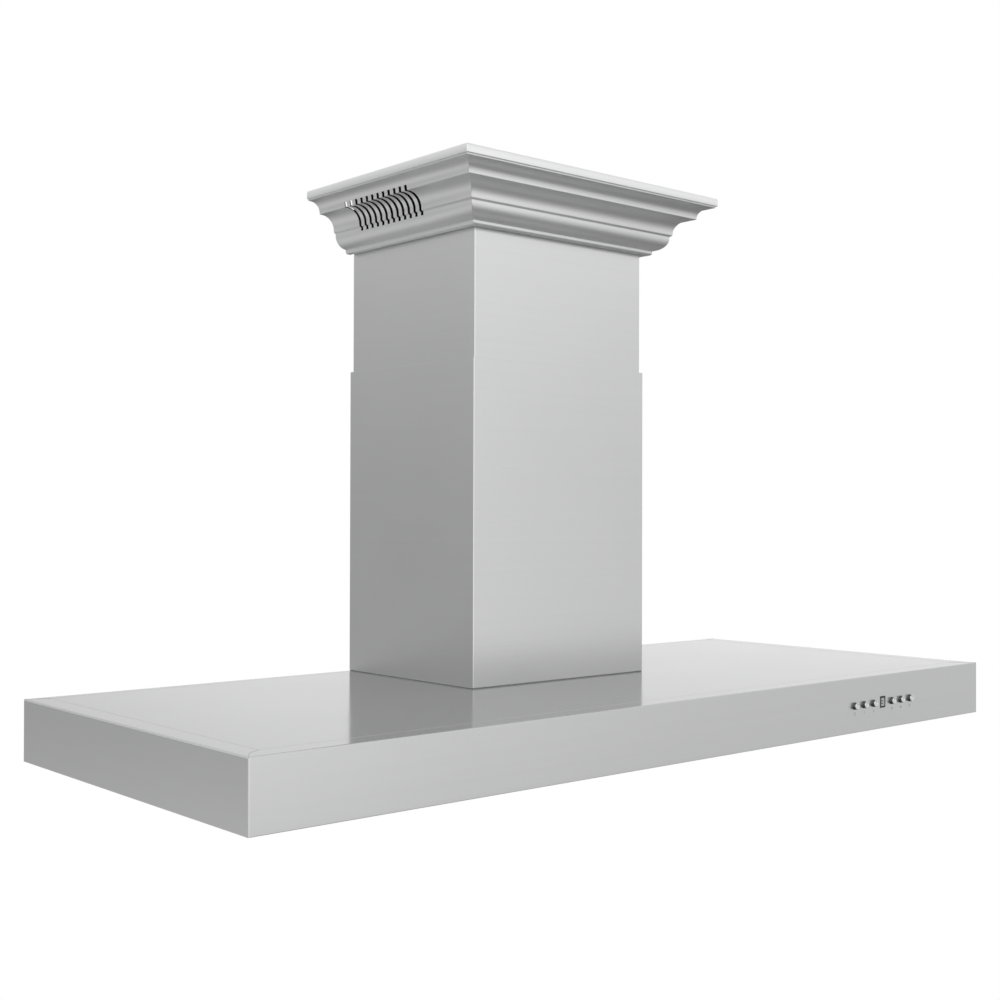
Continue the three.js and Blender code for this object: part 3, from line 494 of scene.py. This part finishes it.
def facing(at, axis):
    """A matrix that carries the origin to a point and local Z to a direction."""
    turn = Vector((0, 0, 1)).rotation_difference(Vector(axis)).to_matrix().to_4x4()
    return Matrix.Translation(at) @ turn


SHEET = 1.2  # mm
FOLD_ANGLE = math.radians(32)  # an edge that turns less than this is left alone


def sheet_width(face):
    """The width of a long, thin face, or about half that of a square one."""
    return 2 * face.calc_area() / face.calc_perimeter()


def refined(node, fold, edge=0.25, thin=1.9, material=None, level_material=None, foot=1.0):
    """A copy of a CAD node, in the same place, with rounded folds and eased sheet edges, in mm.

    An edge beside a face whose sheet_width is under thin is a cut edge of the sheet, and gets the
    radius edge. The others are folds. level_material goes on the faces that look straight up. foot
    is the share of the fold's radius that the lowest edges get.
    """
    bm = bmesh.new()
    bm.from_mesh(NODES[node].data)
    bmesh.ops.remove_doubles(bm, verts=bm.verts, dist=1e-5)
    bmesh.ops.dissolve_limit(bm, angle_limit=math.radians(0.5), verts=bm.verts, edges=bm.edges)
    bmesh.ops.recalc_face_normals(bm, faces=bm.faces)
    # narrow faces with many corners would overlap themselves once they are bevelled
    cut = [f for f in bm.faces if sheet_width(f) < thin * MM and len(f.verts) > 4]
    bmesh.ops.triangulate(bm, faces=cut)
    width = {f: sheet_width(f) for f in bm.faces}
    weight = bm.edges.layers.float.new("bevel_weight_edge")
    lowest = min(v.co.z for v in bm.verts)
    for e in bm.edges:
        if len(e.link_faces) != 2:
            continue
        angle = e.calc_face_angle_signed(0.0)
        if abs(angle) < FOLD_ANGLE:
            continue
        if min(width[f] for f in e.link_faces) < thin * MM:
            e[weight] = min(1.0, edge / fold) if angle > 0 else 0.0
            if e.calc_length() < 4 * MM:  # a facet of a round hole
                e[weight] *= 0.3
        else:
            e[weight] = 1.0 if angle > 0 else max(0.0, (fold - SHEET) / fold)
            if all(v.co.z < lowest + 1e-5 for v in e.verts):
                e[weight] *= foot
        e.smooth = e[weight] > 0
    for f in bm.faces:
        f.material_index = int(level_material is not None and f.normal.z > 0.9)
    mesh = bpy.data.meshes.new(f"{node}_sheet")
    bm.to_mesh(mesh)
    bm.free()
    for polygon in mesh.polygons:
        polygon.use_smooth = True
    mesh.materials.append(material or FINISH[SLOT[node]])
    if level_material:
        mesh.materials.append(level_material)
    piece = bpy.data.objects.new(mesh.name, mesh)
    bpy.context.scene.collection.objects.link(piece)
    bevel = piece.modifiers.new("folds", "BEVEL")
    bevel.limit_method, bevel.width, bevel.segments = "WEIGHT", fold * MM, 3
    bevel.use_clamp_overlap = False
    bevel.miter_outer = "MITER_ARC"
    flat = piece.modifiers.new("flat_faces", "WEIGHTED_NORMAL")
    flat.weight, flat.keep_sharp = 100, True
    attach(piece, BODY[node])
    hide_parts(node)


TURN = {
    "Z": Matrix.Identity(4), "X": Matrix.Rotation(math.pi / 2, 4, "Y"),
    "Y": Matrix.Rotation(-math.pi / 2, 4, "X"), "-Y": Matrix.Rotation(math.pi / 2, 4, "X"),
}


def turned_piece(name, node, profile, centre, axis="Z", sides=48, material=None, indices=None):
    """A lathe-made piece that stands for a CAD node. The profile is in mm along the axis."""
    bm = bmesh.new()
    add_lathe(bm, profile, Matrix.Translation(centre) @ TURN[axis], sides, indices)
    place(name, bm, material or FINISH[SLOT[node]], BODY[node], SLOT[node], [node])


# ---- Crown moulding --------------------------------------------------------------------------

SLOT_COUNT, SLOT_PITCH, SLOT_HALF = 12, 0.0118, 0.0024  # metres
SLOT_FIRST = -0.1922  # y of the middle of the slot nearest the front
SLOT_FOOT, SLOT_TOP = 21.0, 55.0  # mm above the moulding's foot
BAND_FOOT = 66.3  # mm, where the plain top band starts


def arc(centre, radius, start, end, steps):
    angles = [math.radians(start + (end - start) * i / steps) for i in range(steps + 1)]
    return [(centre[0] + radius * math.cos(a), centre[1] + radius * math.sin(a)) for a in angles]


def eased(points, radius):
    """The same outline with each sharp corner rounded."""
    steps = 3
    result = [points[0]]
    for before, here, after in zip(points, points[1:], points[2:]):
        p, q, r = Vector(before), Vector(here), Vector(after)
        u, v = (p - q), (r - q)
        turn = math.pi - u.angle(v)
        if turn < math.radians(25):
            result.append(here)
            continue
        reach = min(radius * math.tan(turn / 2), 0.45 * u.length, 0.45 * v.length)
        a, b = q + u.normalized() * reach, q + v.normalized() * reach
        for i in range(steps + 1):
            t = i / steps
            s = (1 - t) * (1 - t) * a + 2 * t * (1 - t) * q + t * t * b
            result.append((s.x, s.y))
    return [*result, points[-1]]


def crown_outline(height):
    """The moulding's outer face as (reach, height) in mm from its foot up to its top flange."""
    foot = [(0.5, 3.0), (2.6, 3.0), (2.9, 1.2), *arc((4.9, 2.0), 2.0, 200, 270, 3),
            *arc((9.3, 2.9), 2.9, 270, 360, 5), (12.2, 5.4)]
    ovolo = arc((11.5, 23.5), 17.5, -84, 0, 14)
    fillet = [(29.1, 25.2), (31.8, 27.0)]
    cove = arc((51.4, 29.0), 19.4, 180, 90, 16)
    upper = arc((69.6, 49.6), 14.6, 180, 90, 12)
    band = [(73.2, 64.3), (73.2, BAND_FOOT), (75.4, 66.4), (75.4, 75.2)]
    flange = [(75.0, height), (58.0, height)]
    return foot, [*ovolo, *fillet, *cove, (55.0, 48.6), *upper, *band, *flange]


def inset(points, wall):
    """The points moved inwards by a sheet's thickness, to the left of the direction of travel."""
    moved = []
    for i, here in enumerate(points):
        before, after = points[max(i - 1, 0)], points[min(i + 1, len(points) - 1)]
        a = (Vector(here) - Vector(before)).normalized() if i else None
        b = (Vector(after) - Vector(here)).normalized() if i < len(points) - 1 else None
        a, b = a or b, b or a
        normals = [Vector((-d.y, d.x)) for d in (a, b)]
        mean = (normals[0] + normals[1]).normalized()
        moved.append(Vector(here) + mean * wall / max(0.6, mean.dot(normals[0])))
    return [(p.x, p.y) for p in moved]


def with_levels(outline, levels):
    """The outline with a point added wherever it climbs through a level."""
    result = [outline[0]]
    for a, b in zip(outline, outline[1:]):
        for level in levels:
            if a[1] < level < b[1]:
                t = (level - a[1]) / (b[1] - a[1])
                result.append((a[0] + t * (b[0] - a[0]), level))
        result.append(b)
    return result


def crown_plan(half, front, back):
    """The sections of the sweep, from the left's back end round to the right's.

    Each is a function from a point's reach to its x and y, and whether a slot follows it.
    """
    ease = 0.9 * MM  # radius of the mitred corners

    def along(side, y):
        return lambda reach: (side * (half + reach), y)

    def corner(side, turn):
        return lambda reach: (side * (half + reach - ease + ease * math.cos(turn)),
                              front - reach + ease - ease * math.sin(turn))

    centres = [SLOT_FIRST + i * SLOT_PITCH for i in range(SLOT_COUNT)]
    turns = [math.radians(a) for a in (0, 22.5, 45, 67.5, 90)]
    plan = [(along(-1, back), False)]
    for c in reversed(centres):
        plan += [(along(-1, c + SLOT_HALF), True), (along(-1, c - SLOT_HALF), False)]
    plan += [(corner(-1, turn), False) for turn in turns]
    plan += [(corner(1, turn), False) for turn in reversed(turns)]
    for c in centres:
        plan += [(along(1, c - SLOT_HALF), True), (along(1, c + SLOT_HALF), False)]
    return [*plan, (along(1, back), False)]


def crown_moulding():
    low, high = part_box("crown_moulding")
    cover_low, cover_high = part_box("upper_chimney_cover")
    foot, rest = crown_outline((high.z - low.z) / MM)
    outer = with_levels([*eased(foot, 0.5), *eased(rest, 0.45)], (SLOT_FOOT, SLOT_TOP))
    inner = inset(outer, SHEET)
    steps = [sorted((a[1], b[1])) for a, b in zip(outer, outer[1:])]  # lowest and highest point
    slotted = [a >= SLOT_FOOT - 1e-6 and b <= SLOT_TOP + 1e-6 for a, b in steps]
    last = len(steps)
    bm = bmesh.new()
    sections = []
    for place_of, slot_follows in crown_plan(cover_high.x, cover_low.y, high.y):
        skins = [
            [bm.verts.new((*place_of(reach * MM), low.z + z * MM)) for reach, z in line]
            for line in (outer, inner)
        ]
        sections.append((skins, slot_follows))

    def end_wall(section, k):
        return bm.faces.new([section[0][k], section[0][k + 1], section[1][k + 1], section[1][k]])

    for (here, slot), (there, _) in zip(sections, sections[1:]):
        for k in range(last):
            if slot and slotted[k]:
                # a slot's side walls take the black slot material, which is painted shade
                for section in (here, there):
                    end_wall(section, k).material_index = 1
                continue
            for a, b in zip(here, there):
                skin = bm.faces.new([a[k], a[k + 1], b[k + 1], b[k]])
                # the top band takes the lighter band steel, which is painted light
                skin.material_index = 2 if steps[k][0] > BAND_FOOT else 0
        edges = [0, last]
        if slot:
            edges += [k for k in range(1, last) if slotted[k] != slotted[k - 1]]
        for k in edges:
            wall = bm.faces.new([here[0][k], there[0][k], there[1][k], here[1][k]])
            # the walls along a slot's top and bottom take the black painted shade too
            wall.material_index = int(0 < k < last)
    for section, _ in (sections[0], sections[-1]):
        for k in range(last):
            end_wall(section, k)
    materials = [LIT_CROWN_STEEL, SHADED_SLOT_WALL, LIT_BAND_STEEL]
    place("crown_moulding_sheet", bm, materials, BODY["crown_moulding"], "brushed_stainless",
          ["crown_moulding"], smooth_below=28)


# ---- Controls --------------------------------------------------------------------------------


def middle(node):
    low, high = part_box(node)
    return (low + high) / 2


def buttons():
    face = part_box("canopy_shell")[0].y
    profile = [  # the cap's face, its bright rim, its side, and the parts behind the steel
        (0, 4.35), (2.2, 4.42), (3.2, 4.58), (3.7, 4.68), (4.05, 4.6),
        (4.35, 4.3), (4.5, 3.9),
        (4.5, 0.9), (4.6, 0.5), (4.6, -3.6),
        (6.2, -3.6), (6.2, -5.0), (2.5, -5.0), (2.5, -16.0), (0, -16.0),
    ]
    # the caps' sides and the parts behind the steel take the darkened steel, which is painted shade
    materials = [SATIN, FINISH["polished_steel"], SHADED_CHROME]
    indices = [0] * 4 + [1] * 2 + [2] * 8
    for i in range(1, 7):
        c = middle(f"button_{i}")
        turned_piece(f"button_{i}_cap", f"button_{i}", profile, (c.x, face, c.z), "-Y",
                     material=materials, indices=indices)


def display():
    """The display's face: three pale cells one above another, parted by short dark bars."""
    low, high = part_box("display_window")
    bm = bmesh.new()
    add_block(bm, low, high)
    bmesh.ops.bevel(bm, geom=list(bm.edges), offset=0.15 * MM, segments=2, affect="EDGES")
    place("display_face", bm, FINISH["display_glass"], "canopy", "display_glass",
          ["display_window"])
    width, height = high.x - low.x, high.z - low.z
    front, back = low.y - 0.12 * MM, low.y + 0.1 * MM
    bars = bmesh.new()

    def bar(left, right, share, half_height):
        z = low.z + share * height
        add_block(bars, (left, front, z - half_height), (right, back, z + half_height))

    for share in (0.34, 0.66):
        bar(low.x, low.x + 0.62 * width, share, 0.55 * MM)
    for share in (0.17, 0.5, 0.83):
        bar(high.x - 1.3 * MM, high.x - 0.8 * MM, share, 0.9 * MM)
    bmesh.ops.bevel(bars, geom=list(bars.edges), offset=0.06 * MM, segments=2, affect="EDGES")
    place("display_bars", bars, BEZEL, "canopy", "black_plastic")
    refined("display_bezel", 0.5, thin=0.1, material=BEZEL)


def control_marks():
    """A small etched symbol under each button and under the display, generic shapes only."""
    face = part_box("canopy_shell")[0].y
    drop = 10.4 * MM  # from the middle of a button to the middle of its mark
    skin = 0.05  # how far the marks stand proud, mm
    bm = bmesh.new()

    def bar(x, z, width, height):
        w, h, d = width * MM / 2, height * MM / 2, skin * MM
        add_block(bm, (x - w, face - d, z - h), (x + w, face + d, z + h))

    def ring(x, z, radius, wall):
        hole = radius - wall
        profile = [(radius, -skin), (radius, skin), (hole, skin), (hole, -skin), (radius, -skin)]
        add_lathe(bm, profile, Matrix.Translation((x, face, z)) @ TURN["-Y"], 24)

    # each button's ring, as radius and wall, and its bars, as x, z, width and height
    symbols = [
        ((2.0, 0.45), [(0, 1.6, 0.5, 2.0)]),
        (None, [(0, 0, 0.6, 3.6)]),
        (None, [(x, 0, 0.6, 3.6) for x in (-0.9, 0.9)]),
        (None, [(x, 0, 0.6, 3.6) for x in (-1.3, 0, 1.3)]),
        ((1.7, 1.1), []),
        ((2.0, 0.45), [(0, 0.5, 0.5, 1.4)]),
    ]
    for i, (round_part, bars) in enumerate(symbols, 1):
        c = middle(f"button_{i}")
        level = c.z - drop
        if round_part:
            ring(c.x, level, *round_part)
        for x, z, width, height in bars:
            bar(c.x + x * MM, level + z * MM, width, height)
    d = middle("display_window")
    bar(d.x, d.z - drop - 0.9 * MM, 1.8, 0.4)
    place("control_marks", bm, ETCHED, "canopy", "grey_plastic")


# ---- Fasteners and wires ---------------------------------------------------------------------

# a screw head from its underside up: share of the radius, share of the height, cross or round
HEAD = [
    (1, -0.1, False), (1, 0.4, False), (0.88, 0.82, False), (0.64, 1, False),
    (0.5, 0.97, True), (0.36, 0.3, True),
]


def add_screw(bm, at, axis, radius=3.2, height=2.0):
    """A pan-head screw with a cross recess, standing on a face. at is in metres, the rest in mm."""
    matrix = facing(at, axis)
    sides = 32
    rings = []
    for share, rise, cross in HEAD:
        ring = []
        for i in range(sides):
            a = 2 * math.pi * i / sides
            between_arms = cross and abs(math.cos(2 * a)) < 0.75
            r = radius * share * (0.42 if between_arms else 1) * MM
            point = Vector((r * math.cos(a), r * math.sin(a), rise * height * MM))
            ring.append(bm.verts.new(matrix @ point))
        rings.append(ring)
    for a, b in zip(rings, rings[1:]):
        for i in range(sides):
            j = (i + 1) % sides
            bm.faces.new([a[i], a[j], b[j], b[i]])
    bm.faces.new(rings[0][::-1])
    bm.faces.new(rings[-1])


def add_rivet(bm, at, axis):
    """A domed rivet head. at is in metres."""
    radius, height = 2.6, 1.1
    angles = [math.radians(a) for a in (70, 50, 30, 10)]
    dome = [(radius * math.cos(a), height * math.sin(a)) for a in angles]
    profile = [(0, height), *dome, (radius, -0.1), (0, -0.1)]
    add_lathe(bm, profile, facing(at, axis), 20)


def fasteners(name, body, slot, places, add=add_screw, **sizes):
    """One piece with several screws or rivets. Each place is a point in mm and a direction."""
    bm = bmesh.new()
    for at, axis in places:
        add(bm, Vector(at) * MM, axis, **sizes)
    place(name, bm, FINISH[slot], body, slot, smooth_below=40)


def wire(name, body, points, radius, slot="black_plastic"):
    bm = bmesh.new()
    add_tube(bm, [Vector(p) * MM for p in points], radius * MM)
    place(name, bm, FINISH[slot], body, slot)


UP, DOWN, FRONT, BACK, LEFT = (0, 0, 1), (0, 0, -1), (0, -1, 0), (0, 1, 0), (-1, 0, 0)


# ---- Canopy ----------------------------------------------------------------------------------


def canopy_seams():
    """The ground weld lines across the rim's corners."""
    low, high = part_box("canopy_shell")
    panel_low, panel_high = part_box("top_panel")
    tuck = 10.6 * MM  # from the panel's hidden edge to the seam round it
    margin = 0.9 * MM  # from a weld line's end to the canopy's edge
    bead = 0.34 * MM
    z = high.z - 0.16 * MM
    bm = bmesh.new()
    for side in (-1, 1):
        inner_x, outer_x = side * (panel_high.x - tuck), side * (high.x - margin)
        inner, outer = (inner_x, panel_low.y + tuck), (outer_x, low.y + margin)
        bend = (0.42 * inner_x + 0.58 * outer_x, 0.62 * inner[1] + 0.38 * outer[1])
        add_tube(bm, [(*inner, z), (*bend, z), (*outer, z)], bead, sides=8)
        inner, outer = (inner_x, panel_high.y - tuck), (outer_x, high.y - margin)
        add_tube(bm, [(*inner, z), (*outer, z)], bead, sides=8, steps=1)
    place("canopy_weld_lines", bm, SEAM, "canopy", "brushed_stainless")


def lamps():
    depth = 24  # of the housing, mm
    housing = [
        (0, depth), (26.8, depth), (27.7, 23.6), (28, 22.8), (28, -0.4), (32.8, -0.4), (33, -0.6),
        (32.8, -1.0), (32.2, -1.3), (31.4, -1.4), (26.5, -1.4), (25.9, -1.25), (25.6, -0.8),
        (25.6, 22), (0, 22),
    ]
    ripples = 15
    rings = [(24.0 - 1.5 * i - 0.75 * j, -1.15 - 0.7 * i / ripples - 0.14 * j)
             for i in range(ripples) for j in (0, 1)]
    face = [(0, 1), (25.2, 1), (25.2, -0.8), (24.6, -1.1), *rings, (0, -1.9)]
    for i in range(1, 5):
        low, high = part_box(f"led_housing_{i}")
        centre = Vector(((low.x + high.x) / 2, (low.y + high.y) / 2, high.z - depth * MM))
        turned_piece(f"led_housing_{i}_ring", f"led_housing_{i}", housing, centre, sides=64)
        turned_piece(f"led_lens_{i}_face", f"led_lens_{i}", face, centre, sides=64)


def filters():
    for i in range(1, 5):
        refined(f"baffle_filter_{i}", 0.9, edge=0, thin=1.3)
        refined(f"filter_latch_{i}", 0.8)
        low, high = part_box(f"baffle_filter_{i}")
        bm = bmesh.new()
        for x in (low.x + 6 * MM, high.x - 6 * MM):
            for y in (low.y + 13 * MM, (low.y + high.y) / 2, high.y - 6 * MM):
                add_rivet(bm, (x, y, low.z), DOWN)
                add_rivet(bm, (x, y, high.z), UP)
        place(f"filter_{i}_rivets", bm, FINISH["polished_steel"], f"filter_{i}", "polished_steel")


def canopy():
    # The shell's level faces and the top panel take the darker top steel, which is painted shade.
    refined("canopy_shell", 2.2, edge=0.35, level_material=SHADED_TOP_STEEL, foot=0.3)
    refined("top_panel", 0.7, edge=0.5, material=SHADED_TOP_STEEL)
    refined("underside_pan", 1.2)
    refined("filter_rail", 1.0)
    refined("wall_bracket", 1.4)
    refined("led_driver", 1.2)
    refined("control_housing", 0.8)
    refined("control_board", 0.3)
    canopy_seams()
    lamps()
    filters()
    pan_face = -32
    fasteners("pan_screws", "canopy", "polished_steel",
              [((x, y, pan_face), DOWN) for x in (-590, -288, 0, 288, 590) for y in (-26, -476)])
    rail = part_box("filter_rail")[0].z / MM + 1
    fasteners("rail_rivets", "canopy", "galvanised_steel",
              [((x, -48, rail), UP) for x in range(-540, 541, 120)], add_rivet)
    driver_low, driver_high = (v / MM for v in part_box("led_driver"))
    fasteners("driver_screws", "canopy", "polished_steel",
              [((x, -445, driver_low.z + 2), UP) for x in (-64, 64)])
    for i, lamp in enumerate((-450, -150, 150, 450), 1):
        side = math.copysign(1, lamp)
        start = side * (driver_high.x - 12)
        points = [(start, -430, 0), (start + side * 14, -430, 2), (0.5 * (start + lamp), -418, -20),
                  (lamp - side * 34, -424, -14), (lamp - side * 24, -440, -4)]
        wire(f"lamp_wire_{i}", "canopy", points, 1.6, "white_plastic")


# ---- Blower ----------------------------------------------------------------------------------

FAN_Y, FAN_Z = -100, 142  # mm, the fan's axis, which runs along X
FAN_CENTRE = Vector((0, FAN_Y, FAN_Z)) * MM
SPIGOT_Y, BOX_TOP = -132, 264.4  # mm


def circle(radius, *degrees):
    """Points round a circle, at angles in degrees."""
    return [(radius * math.cos(a), radius * math.sin(a)) for a in map(math.radians, degrees)]


def impeller():
    """A wheel of curved blades between two rims, held by a disc and a hub."""
    blades, half = 40, 68
    bm = bmesh.new()
    for k in range(blades):
        base = 2 * math.pi * k / blades
        # radius and angle of four points along the blade
        line = [(48 + 4 * j, base + 0.32 * (j / 3) ** 1.6) for j in range(4)]
        outline = [(r, a - 0.5 / r) for r, a in line]
        outline += [(r, a + 0.5 / r) for r, a in reversed(line)]
        ends = []
        for x in (-half + 1, half - 1):
            points = [(x, FAN_Y + r * math.cos(a), FAN_Z + r * math.sin(a)) for r, a in outline]
            ends.append([bm.verts.new(Vector(point) * MM) for point in points])
        for i in range(len(outline)):
            j = (i + 1) % len(outline)
            bm.faces.new([ends[0][i], ends[0][j], ends[1][j], ends[1][i]])
        for j in range(3):
            for end in ends:
                bm.faces.new([end[j], end[j + 1], end[6 - j], end[7 - j]])
    rims = [
        [(61, half), (61, half - 2), (56, half - 2), (56, half), (61, half)],
        [(61, 2 - half), (61, -half), (56, -half), (56, 2 - half), (61, 2 - half)],
    ]
    disc = [(4.5, 20), (10.2, 20), (11, 19.2), (11, 12), (60.4, 12), (60.8, 11), (60.4, 10),
            (11, 10), (11, 4.8), (10.2, 4), (4.5, 4), (4.5, 20)]
    for profile in (*rims, disc):
        add_lathe(bm, profile, Matrix.Translation(FAN_CENTRE) @ TURN["X"], 64)
    place("impeller_wheel", bm, FINISH["black_plastic"], BODY["impeller"], "black_plastic",
          ["impeller"])


def motor():
    shaft = [(0, 24), (3.4, 24), (4, 23.4), (4, -5.4), (3.8, -5.6), (0, -5.6)]
    turned_piece("motor_shaft_rod", "motor_shaft", shaft, FAN_CENTRE, "X", 32)
    grooves = []
    for x in range(-24, -68, -8):
        grooves += [(38, x), (37.2, x - 0.8), (37.2, x - 2.2), (38, x - 3)]
    casing = [(0, -6), (11.4, -6), (12, -6.6), (12, -9.6), (12.6, -10), (30, -10.2), (34, -11),
              (36.8, -12.8), (38, -16), *grooves, (38, -71), (37.2, -73.6), (35.4, -74.8), (0, -75)]
    turned_piece("fan_motor_casing", "fan_motor", casing, FAN_CENTRE, "X", 64)
    refined("motor_bracket", 0.6)
    spider = -77.4  # x of the bracket's outer face
    bolts = circle(63.5, 90, 210, 330) + circle(18, 30, 150, 270)
    fasteners("motor_bolts", "canopy", "polished_steel",
              [((spider, FAN_Y + u, FAN_Z + v), LEFT) for u, v in bolts])


def blower_fasteners():
    flange_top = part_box("blower_box")[0].z / MM + SHEET
    flange = [((side * 128, y, flange_top), UP)
              for side in (-1, 1) for y in (-232, -180, -128, -76, -24)]
    collar_top = BOX_TOP + 2  # of the collar's flange
    collar = [((u, SPIGOT_Y + v, collar_top), UP) for u, v in circle(80, 45, 135, 225, 315)]
    fasteners("blower_screws", "canopy", "polished_steel", flange + collar)
    seams = [((x, -243.9, z), FRONT) for x in (-112, 112) for z in (60, 110, 160, 210, 250)]
    seams += [((x, -12.1, z), BACK) for x in (-112, -56, 0, 56, 112) for z in (52, 252)]
    seams += [((side * 124, y, 252), (side, 0, 0))
              for side in (-1, 1) for y in (-228, -164, -100, -36)]
    fasteners("blower_rivets", "canopy", "galvanised_steel", seams, add_rivet)


def spigot():
    collar = [
        (73, 44.2), (73.3, 44.8), (74, 45), (74.7, 44.8), (75, 44.2), (75, 38), (75.8, 37.2),
        (76.1, 36), (75.8, 34.8), (75, 34), (75, 4), (75.4, 2.8), (76.6, 2), (83, 2), (83.8, 1.6),
        (84, 1), (84, 0), (73, 0), (73, 44.2),
    ]
    foot = Vector((0, SPIGOT_Y, BOX_TOP)) * MM
    turned_piece("duct_collar_ring", "duct_collar", collar, foot, sides=96)
    pin = [(0, 76), (1.2, 76), (1.5, 75.7), (1.5, -75.7), (1.2, -76), (0, -76)]
    turned_piece("damper_pin_rod", "damper_pin", pin, Vector((0, SPIGOT_Y, 282)) * MM, "Y", 20)


def electrics():
    """Capacitor, cable gland, and the leads on top of the blower box."""
    case = [
        (0, 61), (6.2, 61), (7, 60.2), (7, 58), (7.6, 57.2), (13.6, 57), (14.6, 56.8), (15.6, 56.6),
        (16, 55.8), (16, 54.4), (15.7, 54), (15.7, 53.4), (16, 53), (16, 1), (15.4, 0), (0, 0),
    ]
    foot = Vector((-104, -214, BOX_TOP)) * MM
    turned_piece("motor_capacitor_can", "motor_capacitor", case, foot)
    nut = [(0, 5), (7.8, 5), (8.8, 4.2), (9, 3.6), (9, 1.4), (8.8, 0.8), (7.8, 0), (0, 0)]
    cap = [(4, 15), (4.6, 16), (5.8, 15.6), (6.8, 14.2), (7, 12.4), (7, 7), (6.4, 6.2), (6.4, 4.8),
           (4, 4.8), (4, 15)]
    bm = bmesh.new()
    matrix = Matrix.Translation(Vector((104, -189.6, 284.4)) * MM) @ TURN["Y"]
    add_lathe(bm, nut, matrix, 6)
    add_lathe(bm, cap, matrix)
    place("cable_gland_nut", bm, FINISH["grey_plastic"], "canopy", "grey_plastic", ["cable_gland"])
    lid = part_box("junction_lid")[1].z / MM
    fasteners("junction_screws", "canopy", "polished_steel",
              [((92, -234, lid), UP), ((116, -196, lid), UP)], radius=2.4)
    wire("capacitor_lead", "canopy", [
        (-104, -211, 324), (-100, -204, 334), (-84, -196, 330), (-80, -190, 300), (-86, -186, 272),
        (-92, -184, 264)], 1.7)
    wire("capacitor_return", "canopy", [
        (-107, -216, 324), (-98, -212, 338), (-78, -204, 334), (-72, -194, 302), (-80, -188, 274),
        (-88, -180, 264)], 1.7, "white_plastic")
    grommet = [(2.2, 2), (5, 2), (5.6, 1.2), (5.6, 0), (2.2, 0), (2.2, 2)]
    bm = bmesh.new()
    for x, y in ((-90, -182), (78, -214)):
        add_lathe(bm, grommet, Matrix.Translation(Vector((x, y, 264.1)) * MM), 32)
    place("grommets", bm, FINISH["black_plastic"], "canopy", "black_plastic")
    wire("motor_lead", "canopy", [
        (86.5, -214, 286), (80, -214, 286), (76, -214, 280), (78, -214, 266), (78, -214, 258)], 2.1)


def blower():
    refined("blower_box", 0.5)
    refined("fan_scroll", 0.8)
    refined("junction_box", 1.0)
    refined("junction_lid", 0.5)
    refined("damper_flap_left", 0.4)
    refined("damper_flap_right", 0.4)
    impeller()
    motor()
    blower_fasteners()
    spigot()
    electrics()


# ---- Chimney ---------------------------------------------------------------------------------


def speaker_cones():
    """Three small drivers on each sloping speaker face."""
    run, rise = 24, 25  # of the sloping face, mm
    x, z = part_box("upper_chimney_cover")[1].x / MM + 28, 648.5  # the middle of that face
    middle_y, pitch = -136, 38.67
    cone = [(13.4, -0.4), (13.2, 0.5), (12.4, 0.9), (11.4, 0.6), (10.6, -0.6), (4.6, -5.4),
            (4.4, -5.2), (3.6, -4.2), (2.2, -3.6), (0, -3.4)]
    basket = [(13.4, -0.4), (13.4, -6), (0, -6)]
    for side, name in ((-1, "left"), (1, "right")):
        bm = bmesh.new()
        for y in (middle_y - pitch, middle_y, middle_y + pitch):
            matrix = facing(Vector((side * x, y, z)) * MM, (side * rise, 0, -run))
            add_lathe(bm, cone, matrix)
            add_lathe(bm, basket, matrix)
        place(f"speaker_cones_{name}", bm, FINISH["black_plastic"], "chimney_top", "black_plastic",
              smooth_below=40)


def cover_gasket():
    """A thin foam strip that the lower cover stands on."""
    low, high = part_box("lower_chimney_cover")
    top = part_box("canopy_shell")[1].z
    margin, width = 0.5 * MM, 9 * MM
    bm = bmesh.new()
    left, right, front = low.x + margin, high.x - margin, low.y + margin
    add_block(bm, (left, front, top), (right, front + width, low.z))
    for x in (left, right - width):
        add_block(bm, (x, front + width, top), (x + width, high.y - margin, low.z))
    place("cover_gasket", bm, FINISH["grey_plastic"], "canopy", "grey_plastic")


def chimney():
    cover_gasket()
    refined("lower_chimney_cover", 1.5, edge=0.2)
    refined("upper_chimney_cover", 1.5, edge=0.2)
    for node in ("lower_chimney_bracket", "upper_chimney_bracket", "speaker_left", "speaker_right",
                 "audio_module"):
        refined(node, 1.2)
    for node in ("speaker_mesh_left", "speaker_mesh_right"):
        refined(node, 0.3, thin=0.5)
    speaker_cones()
    crown_moulding()
    fasteners("lower_bracket_screws", "canopy", "polished_steel",
              [((x, -1.5, 419), FRONT) for x in (-110, -50, 50, 110)], radius=4, height=2.6)
    fasteners("upper_bracket_screws", "chimney_top", "polished_steel",
              [((x, -1.5, 656), FRONT) for x in (-120, -80, 80, 120)], radius=4, height=2.6)
    fasteners("audio_screws", "chimney_top", "polished_steel",
              [((x, -3.9, 648), FRONT) for x in (-57, 57)], radius=2.4)
    for side, name in ((-1, "left"), (1, "right")):
        wire(f"speaker_lead_{name}", "chimney_top", [
            (side * 40, -25.5, 640), (side * 44, -34, 640), (side * 90, -46, 632),
            (side * 140, -66, 650), (side * 146.6, -78, 668), (side * 150, -90, 680),
            (side * 156, -100, 678.5)], 1.5)


# ---- Assembly --------------------------------------------------------------------------------

add_camera()
add_world()
add_light("key", place=(-1.2, -3.2, 3.0), target=(0, -0.25, 0.3), size=2.6, power=10)
add_floor()

canopy()
buttons()
display()
control_marks()
blower()
chimney()

bpy.context.scene.view_settings.view_transform = "Standard"
bpy.context.scene.view_settings.look = "None"
